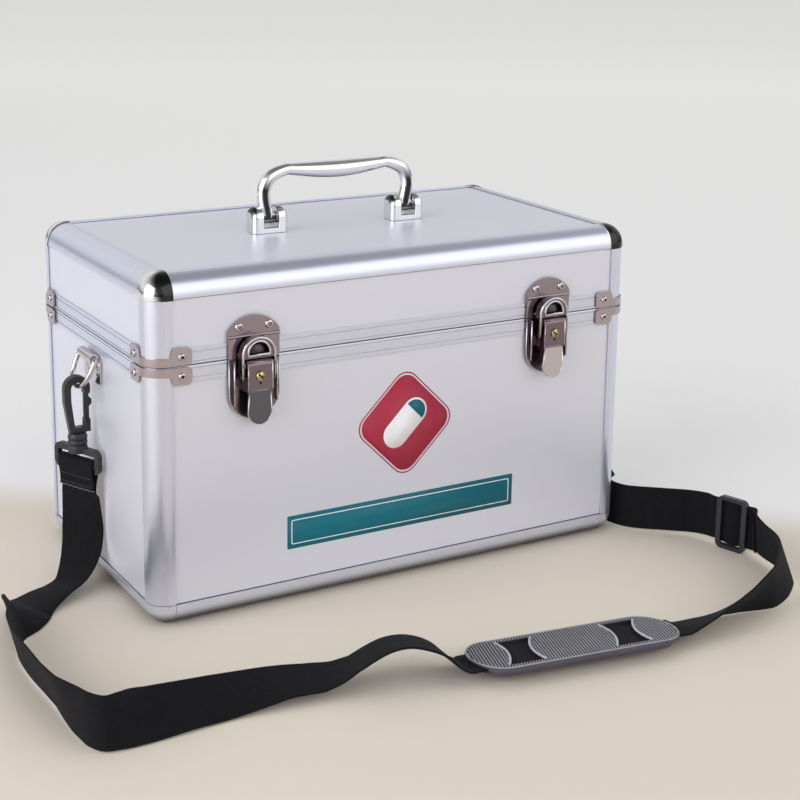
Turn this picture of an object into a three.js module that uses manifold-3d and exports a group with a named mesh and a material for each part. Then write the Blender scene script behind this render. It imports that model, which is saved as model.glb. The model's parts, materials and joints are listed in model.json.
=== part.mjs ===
import * as THREE from 'three';
import { mergeVertices } from 'three/addons/utils/BufferGeometryUtils.js';
import { RoundedBoxGeometry } from 'three/addons/geometries/RoundedBoxGeometry.js';
import Module from 'manifold-3d';

const wasm = await Module();
wasm.setup();

// Driving sizes of the case, in millimetres
const caseLength = 370;
const caseDepth = 204;
const caseHeight = 233;
const lidTall = 58.5;
const splitHeight = caseHeight - lidTall;
const splitGap = 0.4;
const cornerRadius = 14;
const boardThickness = 4;
const fitGap = 0.3;
const overrun = 3;

// Aluminium profiles: an outer lip, a slot for the board and an inner lip
const lipWall = 0.9;
const innerLipWall = 1.2;
const slotWidth = boardThickness + 2 * fitGap;
const wallDepth = lipWall + slotWidth + innerLipWall;
const slotFloor = 11.8;
const postLeg = 15.5;
const topLeg = 16;
const bottomLeg = 24;
const boardGrip = 3.5;
const boardInset = slotFloor + fitGap;
const boardFace = lipWall + fitGap;

// Feet: the four bottom corners stand a little lower than the rails
const footLeg = 30;
const footDrop = 0.8;

// Rims along the split, with a tongue on the body that enters the lid
const rimTall = 11;
const rimInset = 0.3;
const rimWeb = 4.5;
const tongueWall = 1.2;
const tongueRise = 5;
const tongueGap = 1;
const ringOuter = wallDepth + fitGap;
const ringInner = ringOuter + tongueWall;

// Bright pressings over the corners
const plateGap = 0.3;
const plateWall = 1;
const capWall = 0.8;
const capLeg = 17;
const capDrop = 16;
const claspReach = 28.5;
const claspBand = 5.5;
const claspLeaf = 11.4;
const claspLeafRadius = 3;
const claspLeafStart = 14.5;
const claspSplitGap = 0.6;
const rivetRadius = 2.5;
const rivetHeight = 1.3;
const shankRadius = 1.2;

// Draw latches
const latchSpacing = 228;
const latchHalf = 18;
const latchPlateWall = 1;
const latchPlateGap = 0.3;
const pivotOut = 6.1;
const leverPivotDrop = 3.5;
const linkPivotDrop = 8;
const latchPinRadius = 1.5;
const pinGap = 0.3;
const leverHalf = 9;
const leverDepth = 9;
const leverWall = 1.2;
const housingDrop = 17;
const housingRoof = 2;
const tabLength = 39.2;
const tabOverlap = 5;
const tabWall = 1.8;
const tabRecess = 0.8;
const tabNeckHalf = 7.8;
const tabWideHalf = 9.8;
const tabArcRadius = 10;
const earWall = 1;
const earRadius = 3.1;
const linkWall = 1.3;
const linkDepth = 5.6;
const linkFrontWall = 1.5;
const linkTopRise = 15.2;
const linkSillRise = 1.3;
const linkSillWall = 2.4;
const linkWindowHalf = 6.8;
const baseBottomDrop = 41;
const baseFlangeOut = 4;
const baseFlangeSpan = 1.2;
const baseFlangeInset = 2.4;
const baseFlangeLow = 11;
const strikeShoulderRise = 17.5;
const strikeCrown = 10.3;
const strikeRidgeRise = 14.6;
const strikeRidgeRadius = 1.1;
const strikeRivetSpacing = 21;
const strikeRivetRise = 20.8;
const strikeRivetRadius = 2.8;
const hookHalf = 6;
const hookRise = 6.4;
const hookTall = 4.4;
const hookOut = 3.1;
const plugRadius = 3;
const plugDrop = 10.1;
const plugProud = 0.5;
const plugDepth = 7.6;
const plugFlangeRadius = 4.2;
const plugFlangeWall = 1.1;
const camLength = 6;
const camHalf = 1.5;
const camWall = 1.2;
const keySlotHalf = 0.6;
const keySlotLength = 3.6;
const keySlotDepth = 1.5;
const pinholeRadius = 0.9;
const pinholeDrop = 14.9;

// Stop hinges at the back
const hingeSpacing = 220;
const hingeOffset = 3;
const knuckleRadius = 3;
const hingePinRadius = 1.5;
const hingeHalf = 16;
const hingeKnuckleHalf = 5.5;
const hingeLeafWall = 1.2;
const hingeLeafTall = 26;
const hingeLeafGap = 0.4;
const hingeRivetSpread = 10;
const hingeRivetRise = 18;

// Folding carry handle
const handleSpacing = 110;
const handlePivotRise = 9;
const bracketLength = 27;
const bracketHalfDepth = 8;
const bracketSlot = 11.4;
const bracketSill = 2.8;
const handlePinRadius = 2;
const handleBarrelRadius = 4.4;
const handlePinReach = 4.5;
const handleTopRise = 36.7;
const gripEndRadius = 3.5;
const gripMidRadius = 6.1;
const legRadius = 3.8;
const legBow = 2.5;
const gripHalfShare = 0.73;
const bendShare = 2.35;

// Side rings for the strap
const sideRingOut = 3.2;
const ringWire = 1.75;
const ringHalf = 15.2;
const ringDepth = 22;
const ringTilt = 24;
const ringCorner = 3.6;
const ringCornerShare = 0.93;
const ringCornerDropShare = 0.3;
const ringShoulderShare = 0.74;
const ringShoulderDropShare = 0.8;
const tubeRadius = 3.4;
const tubeHalf = 12;
const tubeRimGap = 0.6;
const tabPlateHalf = 15;
const tabPlateTall = 18;
const tabPlateWall = 1.2;
const rivetSpreadShare = 0.6;
const sideRingHeight = splitHeight - rimTall - tubeRimGap - tubeRadius;
const ringDrop = ringDepth * Math.cos(THREE.MathUtils.degToRad(ringTilt));

// Snap hooks and their eyes
const hookAxisOut = 12;
const hookThickness = 5.5;
const hookBowOuter = 9;
const hookBowInner = 4.3;
const bowGap = 0.65;
const shankFootShare = 0.62;
const crotchShare = 0.5;
const noseDrop = 3.9;
const noseInner = 4.6;
const noseOuter = 8.6;
const gateGap = 0.4;
const gatePivotDrop = 23.5;
const gatePivotIn = 6.5;
const gateHalfWide = 1.75;
const gateHalfThick = 1.3;
const gatePinRadius = 0.9;
const cheekInner = 1.6;
const cheekRise = 2;
const crotchDrop = 3.6;
const crotchWall = 3.4;
const thumbReach = 1.9;
const thumbTall = 7;
const thumbDrop = 2.6;
const stemRadius = 3;
const stemHeadRadius = 3.9;
const stemHeadTall = 1.4;
const collarRadius = 6.6;
const collarGroove = 0.7;
const collarGap = 0.4;
const collarTall = 9.6;
const collarRings = 3;
const eyeWide = 41;
const eyeThick = 4;
const eyeCorner = 5;
const eyeRoof = 4.4;
const eyeSlotTall = 5;
const eyeBarTall = 4.1;
const eyeLegTall = 3.9;
const eyeTurn = 65;
const hookBowHeight = sideRingHeight - ringDrop + ringWire + bowGap - hookBowInner;
const noseLow = hookBowHeight - noseDrop;
const thumbHigh = noseLow - thumbDrop;
const thumbLow = thumbHigh - thumbTall;
const gatePivotHeight = hookBowHeight - gatePivotDrop;
const cheekTop = gatePivotHeight + cheekRise;
const hookCrotch = gatePivotHeight - crotchDrop;
const hookFoot = hookCrotch - crotchWall;
const collarTop = hookFoot - collarGap;
const eyeTop = collarTop - collarTall;
const eyeSlotTop = eyeTop - eyeRoof;
const eyeBarTop = eyeSlotTop - eyeSlotTall;
const eyeBarLow = eyeBarTop - eyeBarTall;
const eyeLow = eyeBarLow - eyeLegTall;

// Webbing strap, slider and shoulder pad
const strapWidth = 32;
const strapThickness = 1.6;
const strapEndHeight = eyeBarLow - fitGap;
const strapSteps = 120;
const slotAllowance = 1;
const straightPast = 5;
const sliderOut = 53;
const sliderForward = 70;
const sliderTurn = 106;
const sliderTall = 40;
const sliderLong = 25;
const sliderThick = 4;
const sliderBar = 4;
const sliderCorner = 5;
const padMiddle = 31.2;
const padForward = 156.7;
const padTurn = -8;
const padTilt = 7.5;
const padLong = 142;
const padWide = 52;
const padEndLong = 18;
const padTableGap = 0.2;
const padFloorWall = 3.2;
const padTunnelTall = 2.2;
const padRoofWall = 1.6;
const padEdgeWall = 3;
const padBaseInset = 5;
const padWindowPlace = 37;
const padWindowLong = 24;
const padWindowWide = 40;

// The latches stand further out than the hinges: the case is moved back by half the difference
const latchProud = pivotOut + leverDepth / 2 + plugProud;
const hingeProud = hingeOffset + knuckleRadius;
const frameShift = (latchProud - hingeProud) / 2;

const quarterTurn = 90;
const halfLength = caseLength / 2;
const halfDepth = caseDepth / 2;
const latchX = latchSpacing / 2;
const leverPivotZ = splitHeight - leverPivotDrop;
const linkPivotZ = leverPivotZ - linkPivotDrop;

// Number of flats on round pieces
const fine = 18;
const medium = 10;
const edgeSegments = 3;
const domeRings = 4;
const wireSegments = 32;
const wireSides = 8;
const bailSteps = 24;

// Solids

function solid(geometry) {
  for (const name of ['normal', 'uv']) {
    geometry.deleteAttribute(name);
  }
  const merged = mergeVertices(geometry, 1e-4);
  return new wasm.Manifold(new wasm.Mesh({
    numProp: 3,
    vertProperties: new Float32Array(merged.attributes.position.array),
    triVerts: new Uint32Array(merged.index.array),
  }));
}

function geometryOf(manifold) {
  const mesh = manifold.getMesh();
  const geometry = new THREE.BufferGeometry();
  geometry.setAttribute('position', new THREE.BufferAttribute(mesh.vertProperties, 3));
  geometry.setIndex(new THREE.BufferAttribute(mesh.triVerts, 1));
  const flat = geometry.toNonIndexed();
  flat.computeVertexNormals();
  return flat;
}

// A box between two corners, given in any order
function span(xa, xb, ya, yb, za, zb) {
  const size = [Math.abs(xb - xa), Math.abs(yb - ya), Math.abs(zb - za)];
  const box = new THREE.BoxGeometry(...size);
  box.translate((xa + xb) / 2, (ya + yb) / 2, (za + zb) / 2);
  return solid(box);
}

function union(pieces) {
  return pieces.reduce((sum, piece) => sum.add(piece));
}

// A round bar along one axis, between two places on it
function rod(axis, radius, from, to, centre, sides = medium) {
  const bar = new THREE.CylinderGeometry(radius, radius, Math.abs(to - from), sides);
  if (axis === 'x') bar.rotateZ(Math.PI / 2);
  if (axis === 'z') bar.rotateX(Math.PI / 2);
  const middle = (from + to) / 2;
  const [first, second] = centre;
  if (axis === 'x') bar.translate(middle, first, second);
  if (axis === 'y') bar.translate(first, middle, second);
  if (axis === 'z') bar.translate(first, second, middle);
  return solid(bar);
}

// An outline drawn in X and Z, pushed along Y from ya to yb
function plateXZ(shape, ya, yb, curve = medium) {
  const depth = Math.abs(yb - ya);
  const plate = new THREE.ExtrudeGeometry(shape, { depth, bevelEnabled: false, curveSegments: curve });
  plate.rotateX(Math.PI / 2);
  plate.translate(0, Math.max(ya, yb), 0);
  return solid(plate);
}

// An outline drawn in Y and Z, pushed along X from xa to xb
function plateYZ(shape, xa, xb, curve = medium) {
  const depth = Math.abs(xb - xa);
  const plate = new THREE.ExtrudeGeometry(shape, { depth, bevelEnabled: false, curveSegments: curve });
  plate.rotateX(Math.PI / 2);
  plate.rotateZ(Math.PI / 2);
  plate.translate(Math.min(xa, xb), 0, 0);
  return solid(plate);
}

function roundedRect(xa, xb, ya, yb, radius) {
  const shape = new THREE.Shape();
  shape.moveTo(xa + radius, ya);
  shape.lineTo(xb - radius, ya);
  shape.absarc(xb - radius, ya + radius, radius, -Math.PI / 2, 0);
  shape.lineTo(xb, yb - radius);
  shape.absarc(xb - radius, yb - radius, radius, 0, Math.PI / 2);
  shape.lineTo(xa + radius, yb);
  shape.absarc(xa + radius, yb - radius, radius, Math.PI / 2, Math.PI);
  shape.lineTo(xa, ya + radius);
  shape.absarc(xa + radius, ya + radius, radius, Math.PI, Math.PI * 1.5);
  return shape;
}

// A closed skin through rings of points, flat at both ends
function loft(rings) {
  const count = rings[0].length;
  const places = rings.flat();
  const faces = [];
  for (let row = 0; row + 1 < rings.length; row += 1) {
    for (let side = 0; side < count; side += 1) {
      const next = (side + 1) % count;
      const a = row * count + side;
      const b = row * count + next;
      faces.push(a, b, b + count, a, b + count, a + count);
    }
  }
  const last = (rings.length - 1) * count;
  for (let side = 1; side + 1 < count; side += 1) {
    faces.push(0, side + 1, side);
    faces.push(last, last + side, last + side + 1);
  }
  const geometry = new THREE.BufferGeometry().setFromPoints(places);
  geometry.setIndex(faces);
  return solid(geometry);
}

// A dome head on a plate; axis x or y, pointing out along the sign
function dome(axis, sign, place, radius, height) {
  const ball = new THREE.SphereGeometry(radius, medium, domeRings);
  const share = height / radius;
  if (axis === 'x') ball.scale(share, 1, 1);
  if (axis === 'y') ball.scale(1, share, 1);
  ball.translate(...place);
  const head = solid(ball);
  const [x, y, z] = place;
  const reach = radius + overrun;
  const lift = sign * reach;
  const keep = axis === 'x'
    ? span(x, x + lift, y - reach, y + reach, z - reach, z + reach)
    : span(x - reach, x + reach, y, y + lift, z - reach, z + reach);
  return head.intersect(keep);
}

// Case shell

// The whole case as one block with round edges, grown by a distance
function caseBlock(grown = 0) {
  const size = [caseLength, caseDepth, caseHeight].map((length) => length + 2 * grown);
  const block = new RoundedBoxGeometry(...size, edgeSegments, cornerRadius + grown);
  block.translate(0, 0, caseHeight / 2);
  return solid(block);
}

// A plain upright box that stays a distance inside the four walls
function insetBox(inset, za, zb) {
  return span(inset - halfLength, halfLength - inset, inset - halfDepth, halfDepth - inset, za, zb);
}

// The corner of the case, from outside it to a distance along both walls
function cornerBlock(sx, sy, leg, za, zb) {
  const x = sx * halfLength;
  const y = sy * halfDepth;
  return span(x + sx * overrun, x - sx * leg, y + sy * overrun, y - sy * leg, za, zb);
}

// Slots in the outer walls, from one depth to another, clear of the corners by an end distance
function wallSlots(end, za, zb) {
  const near = lipWall;
  const far = lipWall + slotWidth;
  const pieces = [];
  for (const side of [-1, 1]) {
    const x = side * halfLength;
    const y = side * halfDepth;
    pieces.push(span(end - halfLength, halfLength - end, y - side * near, y - side * far, za, zb));
    pieces.push(span(x - side * near, x - side * far, end - halfDepth, halfDepth - end, za, zb));
  }
  return union(pieces);
}

function cornerPost(sx, sy, za, zb) {
  const low = za - overrun;
  const high = zb + overrun;
  return caseBlock()
    .intersect(cornerBlock(sx, sy, postLeg, za, zb))
    .subtract(insetBox(wallDepth, low, high))
    .subtract(wallSlots(slotFloor, low, high));
}

// The ring of rails round the bottom or the top, with its slots for the walls and the flat board
function edgeFrame(atTop) {
  const height = (depth) => (atTop ? caseHeight - depth : depth);
  const leg = atTop ? topLeg : bottomLeg;
  const slab = insetBox(-overrun, height(-overrun), height(slotFloor + boardGrip));
  return caseBlock()
    .intersect(slab)
    .subtract(insetBox(wallDepth, height(wallDepth), height(caseHeight)))
    .subtract(insetBox(leg, height(-overrun), height(caseHeight)))
    .subtract(insetBox(leg - boardGrip, height(lipWall), height(lipWall + slotWidth)))
    .subtract(wallSlots(slotFloor, height(slotFloor), height(caseHeight)));
}

function bottomFrame() {
  const open = footLeg;
  return edgeFrame(false)
    .subtract(span(open - halfLength, halfLength - open, -caseDepth, caseDepth, -overrun, footDrop))
    .subtract(span(-caseLength, caseLength, open - halfDepth, halfDepth - open, -overrun, footDrop));
}

function ring(outer, inner, za, zb) {
  return insetBox(outer, za, zb).subtract(insetBox(inner, za - overrun, zb + overrun));
}

// Four bars between the corner posts, from one depth to another
function wallBars(near, far, za, zb) {
  const end = postLeg + fitGap;
  const pieces = [];
  for (const side of [-1, 1]) {
    const x = side * halfLength;
    const y = side * halfDepth;
    pieces.push(span(end - halfLength, halfLength - end, y - side * near, y - side * far, za, zb));
    pieces.push(span(x - side * near, x - side * far, end - halfDepth, halfDepth - end, za, zb));
  }
  return pieces;
}

const bodyRimLow = splitHeight - rimTall;
const bodyRimHigh = splitHeight - splitGap / 2;
const lidRimLow = splitHeight + splitGap / 2;
const lidRimHigh = splitHeight + rimTall;
const lidRingLow = splitHeight + tongueRise + tongueGap;

function bodyRim() {
  const tongue = ring(ringOuter, ringInner, bodyRimLow, splitHeight + tongueRise);
  const bars = wallBars(rimInset, ringInner, bodyRimLow, bodyRimHigh);
  return union([tongue, ...bars])
    .subtract(wallSlots(0, bodyRimLow - overrun, bodyRimHigh - rimWeb));
}

function lidRim() {
  const collar = ring(ringOuter, ringInner, lidRingLow, lidRimHigh);
  const bars = wallBars(rimInset, wallDepth, lidRimLow, lidRimHigh);
  const webs = wallBars(lipWall + slotWidth, ringInner, lidRingLow, lidRimHigh);
  return union([collar, ...bars, ...webs])
    .subtract(wallSlots(0, lidRimLow + rimWeb, lidRimHigh + overrun));
}

// A board in the front or back wall, or in the left or right wall
function lengthBoard(side, za, zb) {
  const y = side * halfDepth;
  const outer = y - side * boardFace;
  const end = halfLength - boardInset;
  return span(-end, end, outer, outer - side * boardThickness, za, zb);
}

function depthBoard(side, za, zb) {
  const x = side * halfLength;
  const outer = x - side * boardFace;
  const end = halfDepth - boardInset;
  return span(outer, outer - side * boardThickness, -end, end, za, zb);
}

function flatBoard(atTop) {
  const leg = (atTop ? topLeg : bottomLeg) - boardGrip + fitGap;
  const outer = atTop ? caseHeight - boardFace : boardFace;
  const inner = atTop ? outer - boardThickness : outer + boardThickness;
  return insetBox(leg, outer, inner);
}

// Bright caps and clasps

function lidCap(sx, sy) {
  return caseBlock(plateGap + capWall)
    .subtract(caseBlock(plateGap))
    .intersect(cornerBlock(sx, sy, capLeg, caseHeight - capDrop, caseHeight + overrun));
}

// A clasp round one corner, with a riveted leaf on each of the two walls
function clasp(sx, sy, up) {
  const edge = splitHeight + up * claspSplitGap;
  const bandEnd = edge + up * claspBand;
  const leafEnd = edge + up * claspLeaf;
  const low = Math.min(edge, leafEnd);
  const high = Math.max(edge, leafEnd);
  const x = sx * halfLength;
  const y = sy * halfDepth;
  const inX = [x - sx * claspLeafStart, x - sx * claspReach].sort((a, b) => a - b);
  const inY = [y - sy * claspLeafStart, y - sy * claspReach].sort((a, b) => a - b);
  const leafX = plateXZ(roundedRect(...inX, low, high, claspLeafRadius), y + sy * overrun, y - sy * overrun);
  const leafY = plateYZ(roundedRect(...inY, low, high, claspLeafRadius), x + sx * overrun, x - sx * overrun);
  const band = cornerBlock(sx, sy, claspLeafStart + claspLeafRadius, edge, bandEnd);
  const skin = caseBlock(plateGap + plateWall).subtract(caseBlock(plateGap));
  const outside = plateGap + plateWall / 2;
  const rivetZ = (low + high) / 2;
  const rivetX = (inX[0] + inX[1]) / 2;
  const rivetY = (inY[0] + inY[1]) / 2;
  const heads = [
    dome('y', sy, [rivetX, y + sy * outside, rivetZ], rivetRadius, rivetHeight),
    dome('x', sx, [x + sx * outside, rivetY, rivetZ], rivetRadius, rivetHeight),
  ];
  return union([skin.intersect(union([band, leafX, leafY])), ...heads]);
}

// Shanks that tie the rear clasps to the rim behind them
function claspShanks(sx, sy, up) {
  const rise = claspSplitGap + claspLeaf / 2;
  const z = splitHeight + up * rise;
  const away = (claspLeafStart + claspReach) / 2;
  const x = sx * halfLength;
  const y = sy * halfDepth;
  const reach = plateGap + plateWall / 2;
  return [
    rod('y', shankRadius, y + sy * reach, y - sy * lipWall, [x - sx * away, z]),
    rod('x', shankRadius, x + sx * reach, x - sx * lipWall, [y - sy * away, z]),
  ];
}

function rimWithRearClasps(rim, up) {
  const pieces = [rim];
  for (const sx of [-1, 1]) {
    pieces.push(clasp(sx, 1, up), ...claspShanks(sx, 1, up));
  }
  return union(pieces);
}

// Draw latch, drawn round X 0 with the case front at Y 0 and outwards along -Y

function latchBox(xa, xb, outA, outB, za, zb) {
  return span(xa, xb, -outA, -outB, za, zb);
}

const plateFront = latchPlateGap + latchPlateWall;
const leverBack = pivotOut - leverDepth / 2;
const leverFront = pivotOut + leverDepth / 2;
const earInner = leverHalf + fitGap;
const earOuter = earInner + earWall;
const linkInner = earOuter + fitGap;
const linkOuter = linkInner + linkWall;
const linkBack = pivotOut - linkDepth / 2;
const linkFront = pivotOut + linkDepth / 2;

function latchBase() {
  const top = splitHeight - splitGap;
  const low = splitHeight - baseBottomDrop;
  const outline = new THREE.Shape();
  outline.moveTo(-latchHalf, top);
  outline.lineTo(-latchHalf, low + latchHalf);
  outline.absarc(0, low + latchHalf, latchHalf, Math.PI, Math.PI * 2);
  outline.lineTo(latchHalf, top);
  const pieces = [plateXZ(outline, -latchPlateGap, -plateFront)];
  for (const side of [-1, 1]) {
    const flangeOuter = side * (latchHalf - baseFlangeInset);
    const flangeInner = flangeOuter - side * baseFlangeSpan;
    const flangeLow = low + baseFlangeLow;
    pieces.push(latchBox(flangeInner, flangeOuter, latchPlateGap, baseFlangeOut, flangeLow, top - splitGap));
    const xa = side * earInner;
    const xb = side * earOuter;
    const ear = new THREE.Shape();
    ear.moveTo(-latchPlateGap, leverPivotZ - earRadius);
    ear.lineTo(-pivotOut, leverPivotZ - earRadius);
    ear.absarc(-pivotOut, leverPivotZ, earRadius, -Math.PI / 2, Math.PI / 2, true);
    ear.lineTo(-latchPlateGap, leverPivotZ + earRadius);
    const hole = rod('x', latchPinRadius + pinGap, xa - side * overrun, xb + side * overrun,
      [-pivotOut, leverPivotZ]);
    pieces.push(plateYZ(ear, xa, xb).subtract(hole));
  }
  return union(pieces);
}

function latchLever() {
  const low = leverPivotZ - housingDrop;
  const profile = new THREE.Shape();
  profile.moveTo(-leverBack, low);
  profile.lineTo(-leverBack, leverPivotZ);
  profile.absarc(-pivotOut, leverPivotZ, leverDepth / 2, 0, Math.PI);
  profile.lineTo(-leverFront, low);
  const inside = leverHalf - leverWall;
  const roof = leverPivotZ - housingRoof;
  const plugZ = splitHeight - plugDrop;
  const pinholeZ = splitHeight - pinholeDrop;
  let housing = plateYZ(profile, -leverHalf, leverHalf)
    .subtract(latchBox(-inside, inside, leverBack - overrun, leverFront - leverWall, low - overrun, roof))
    .subtract(rod('y', plugRadius + pinGap, -leverBack, -leverFront - overrun, [0, plugZ], fine))
    .subtract(rod('y', pinholeRadius, -pivotOut, -leverFront - overrun, [0, pinholeZ]));
  const tabOut = leverFront - leverWall + tabRecess / 2;
  const tip = leverPivotZ - tabLength;
  const wideZ = tip + tabArcRadius - Math.sqrt(tabArcRadius ** 2 - tabWideHalf ** 2);
  const swing = Math.asin(tabWideHalf / tabArcRadius);
  const tab = new THREE.Shape();
  tab.moveTo(-tabNeckHalf, low + tabOverlap);
  tab.lineTo(-tabNeckHalf, low);
  tab.lineTo(-tabWideHalf, wideZ);
  tab.absarc(0, tip + tabArcRadius, tabArcRadius, -Math.PI / 2 - swing, -Math.PI / 2 + swing);
  tab.lineTo(tabNeckHalf, low);
  tab.lineTo(tabNeckHalf, low + tabOverlap);
  housing = housing.add(plateXZ(tab, -tabOut, -tabOut + tabWall));
  for (const side of [-1, 1]) {
    const start = side * (leverHalf - leverWall / 2);
    housing = housing
      .add(rod('x', latchPinRadius, start, side * (earOuter + pinGap / 2), [-pivotOut, leverPivotZ]))
      .add(rod('x', latchPinRadius, start, side * (linkOuter + pinGap), [-pivotOut, linkPivotZ]));
  }
  return housing;
}

// The arch of the link: straight sides up to a half circle
function archShape(half, low, crown) {
  const shape = new THREE.Shape();
  shape.moveTo(-half, low);
  shape.lineTo(half, low);
  shape.lineTo(half, crown - half);
  shape.absarc(0, crown - half, half, 0, Math.PI);
  return shape;
}

function latchLink() {
  const crown = splitHeight + linkTopRise;
  const sill = splitHeight + linkSillRise;
  const low = linkPivotZ - linkDepth / 2;
  const outer = plateXZ(archShape(linkOuter, low, crown), -linkBack, -linkFront, fine);
  const pocket = plateXZ(archShape(linkInner, low - overrun, crown - linkWall),
    -linkBack + overrun, -linkFront + linkFrontWall, fine);
  const front = latchBox(-linkInner, linkInner, linkBack, linkFront + overrun, low - overrun, sill);
  const window = plateXZ(archShape(linkWindowHalf, sill + linkSillWall, crown - linkSillWall - linkWall),
    -linkBack, -linkFront - overrun, fine);
  const foot = new THREE.Shape();
  foot.moveTo(-linkFront, crown + overrun);
  foot.lineTo(-linkFront, linkPivotZ);
  foot.absarc(-pivotOut, linkPivotZ, linkDepth / 2, Math.PI, Math.PI * 2);
  foot.lineTo(-linkBack, crown + overrun);
  const reach = linkOuter + overrun;
  return outer
    .subtract(pocket)
    .subtract(front)
    .subtract(window)
    .intersect(plateYZ(foot, -reach, reach))
    .subtract(rod('x', latchPinRadius + pinGap, -reach, reach, [-pivotOut, linkPivotZ]));
}

function keyPlug() {
  const z = splitHeight - plugDrop;
  const front = leverFront + plugProud;
  const back = front - plugDepth;
  const flangeFront = leverFront - leverWall - pinGap;
  return rod('y', plugRadius, -back, -front, [0, z], fine)
    .add(rod('y', plugFlangeRadius, -flangeFront, -flangeFront + plugFlangeWall, [0, z], fine))
    .add(latchBox(-camHalf, camHalf, back, back + camWall, z - camLength, z))
    .subtract(latchBox(-keySlotHalf, keySlotHalf, front - keySlotDepth, front + overrun,
      z - keySlotLength / 2, z + keySlotLength / 2));
}

function latchStrike() {
  const low = splitHeight + splitGap;
  const shoulder = splitHeight + strikeShoulderRise;
  const radius = (latchHalf ** 2 + strikeCrown ** 2) / (2 * strikeCrown);
  const centre = shoulder + strikeCrown - radius;
  const swing = Math.asin(latchHalf / radius);
  const outline = new THREE.Shape();
  outline.moveTo(-latchHalf, low);
  outline.lineTo(latchHalf, low);
  outline.lineTo(latchHalf, shoulder);
  outline.absarc(0, centre, radius, Math.PI / 2 - swing, Math.PI / 2 + swing);
  const ridgeZ = splitHeight + strikeRidgeRise;
  const pieces = [
    plateXZ(outline, -latchPlateGap, -plateFront),
    rod('x', strikeRidgeRadius, -latchHalf, latchHalf, [-plateFront, ridgeZ]),
    latchBox(-hookHalf, hookHalf, latchPlateGap, hookOut, splitHeight + hookRise,
      splitHeight + hookRise + hookTall),
  ];
  for (const side of [-1, 1]) {
    const place = [side * strikeRivetSpacing / 2, -plateFront, splitHeight + strikeRivetRise];
    pieces.push(dome('y', -1, place, strikeRivetRadius, rivetHeight));
  }
  return union(pieces);
}

// Stop hinge, drawn round X 0 with the case back at Y 0 and outwards along +Y

function hingeLeaf(up) {
  const leafOut = hingeOffset - knuckleRadius + fitGap / 2;
  const start = splitHeight + up * (knuckleRadius + hingeLeafGap);
  const end = splitHeight + up * hingeLeafTall;
  const axis = [hingeOffset, splitHeight];
  const outline = roundedRect(-hingeHalf, hingeHalf, Math.min(start, end), Math.max(start, end), claspLeafRadius);
  const pieces = [plateXZ(outline, leafOut, leafOut + hingeLeafWall)];
  const inner = hingeKnuckleHalf;
  const outer = inner + fitGap;
  const ranges = up > 0 ? [[-inner, inner]] : [[-hingeHalf, -outer], [outer, hingeHalf]];
  for (const [xa, xb] of ranges) {
    pieces.push(rod('x', knuckleRadius, xa, xb, axis, fine));
    pieces.push(span(xa, xb, leafOut, leafOut + hingeLeafWall, splitHeight, start + up * hingeLeafWall));
  }
  for (const side of [-1, 1]) {
    const place = [side * hingeRivetSpread, leafOut + hingeLeafWall, splitHeight + up * hingeRivetRise];
    pieces.push(dome('y', 1, place, rivetRadius, rivetHeight));
  }
  const leaf = union(pieces);
  if (up > 0) {
    return leaf.subtract(rod('x', hingePinRadius + pinGap, -hingeHalf, hingeHalf, axis));
  }
  return leaf.add(rod('x', hingePinRadius, -hingeHalf, hingeHalf, axis));
}

// Handle

const handlePivotZ = caseHeight + handlePivotRise;

function handleBracket(side) {
  const x = side * handleSpacing / 2;
  const half = bracketLength / 2;
  const low = caseHeight - boardFace + fitGap;
  const profile = new THREE.Shape();
  profile.moveTo(-bracketHalfDepth, low);
  profile.lineTo(bracketHalfDepth, low);
  profile.lineTo(bracketHalfDepth, handlePivotZ);
  profile.absarc(0, handlePivotZ, bracketHalfDepth, 0, Math.PI);
  const slotHalf = bracketSlot / 2;
  const sill = caseHeight + bracketSill;
  return plateYZ(profile, x - half, x + half, fine)
    .subtract(span(x - slotHalf, x + slotHalf, -caseDepth, caseDepth, sill, caseHeight * 2))
    .subtract(rod('x', handlePinRadius + pinGap, x - slotHalf - handlePinReach - pinGap,
      x + slotHalf + handlePinReach + pinGap, [0, handlePivotZ]));
}

// An oval section across a path that stays in the XZ plane
function ovalRing(place, tangent, inPlane, across) {
  const normal = new THREE.Vector3(-tangent.z, 0, tangent.x);
  const points = [];
  for (let side = 0; side < medium; side += 1) {
    const angle = (side / medium) * Math.PI * 2;
    points.push(place.clone()
      .addScaledVector(normal, inPlane * Math.cos(angle))
      .add(new THREE.Vector3(0, -across * Math.sin(angle), 0)));
  }
  return points;
}

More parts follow.
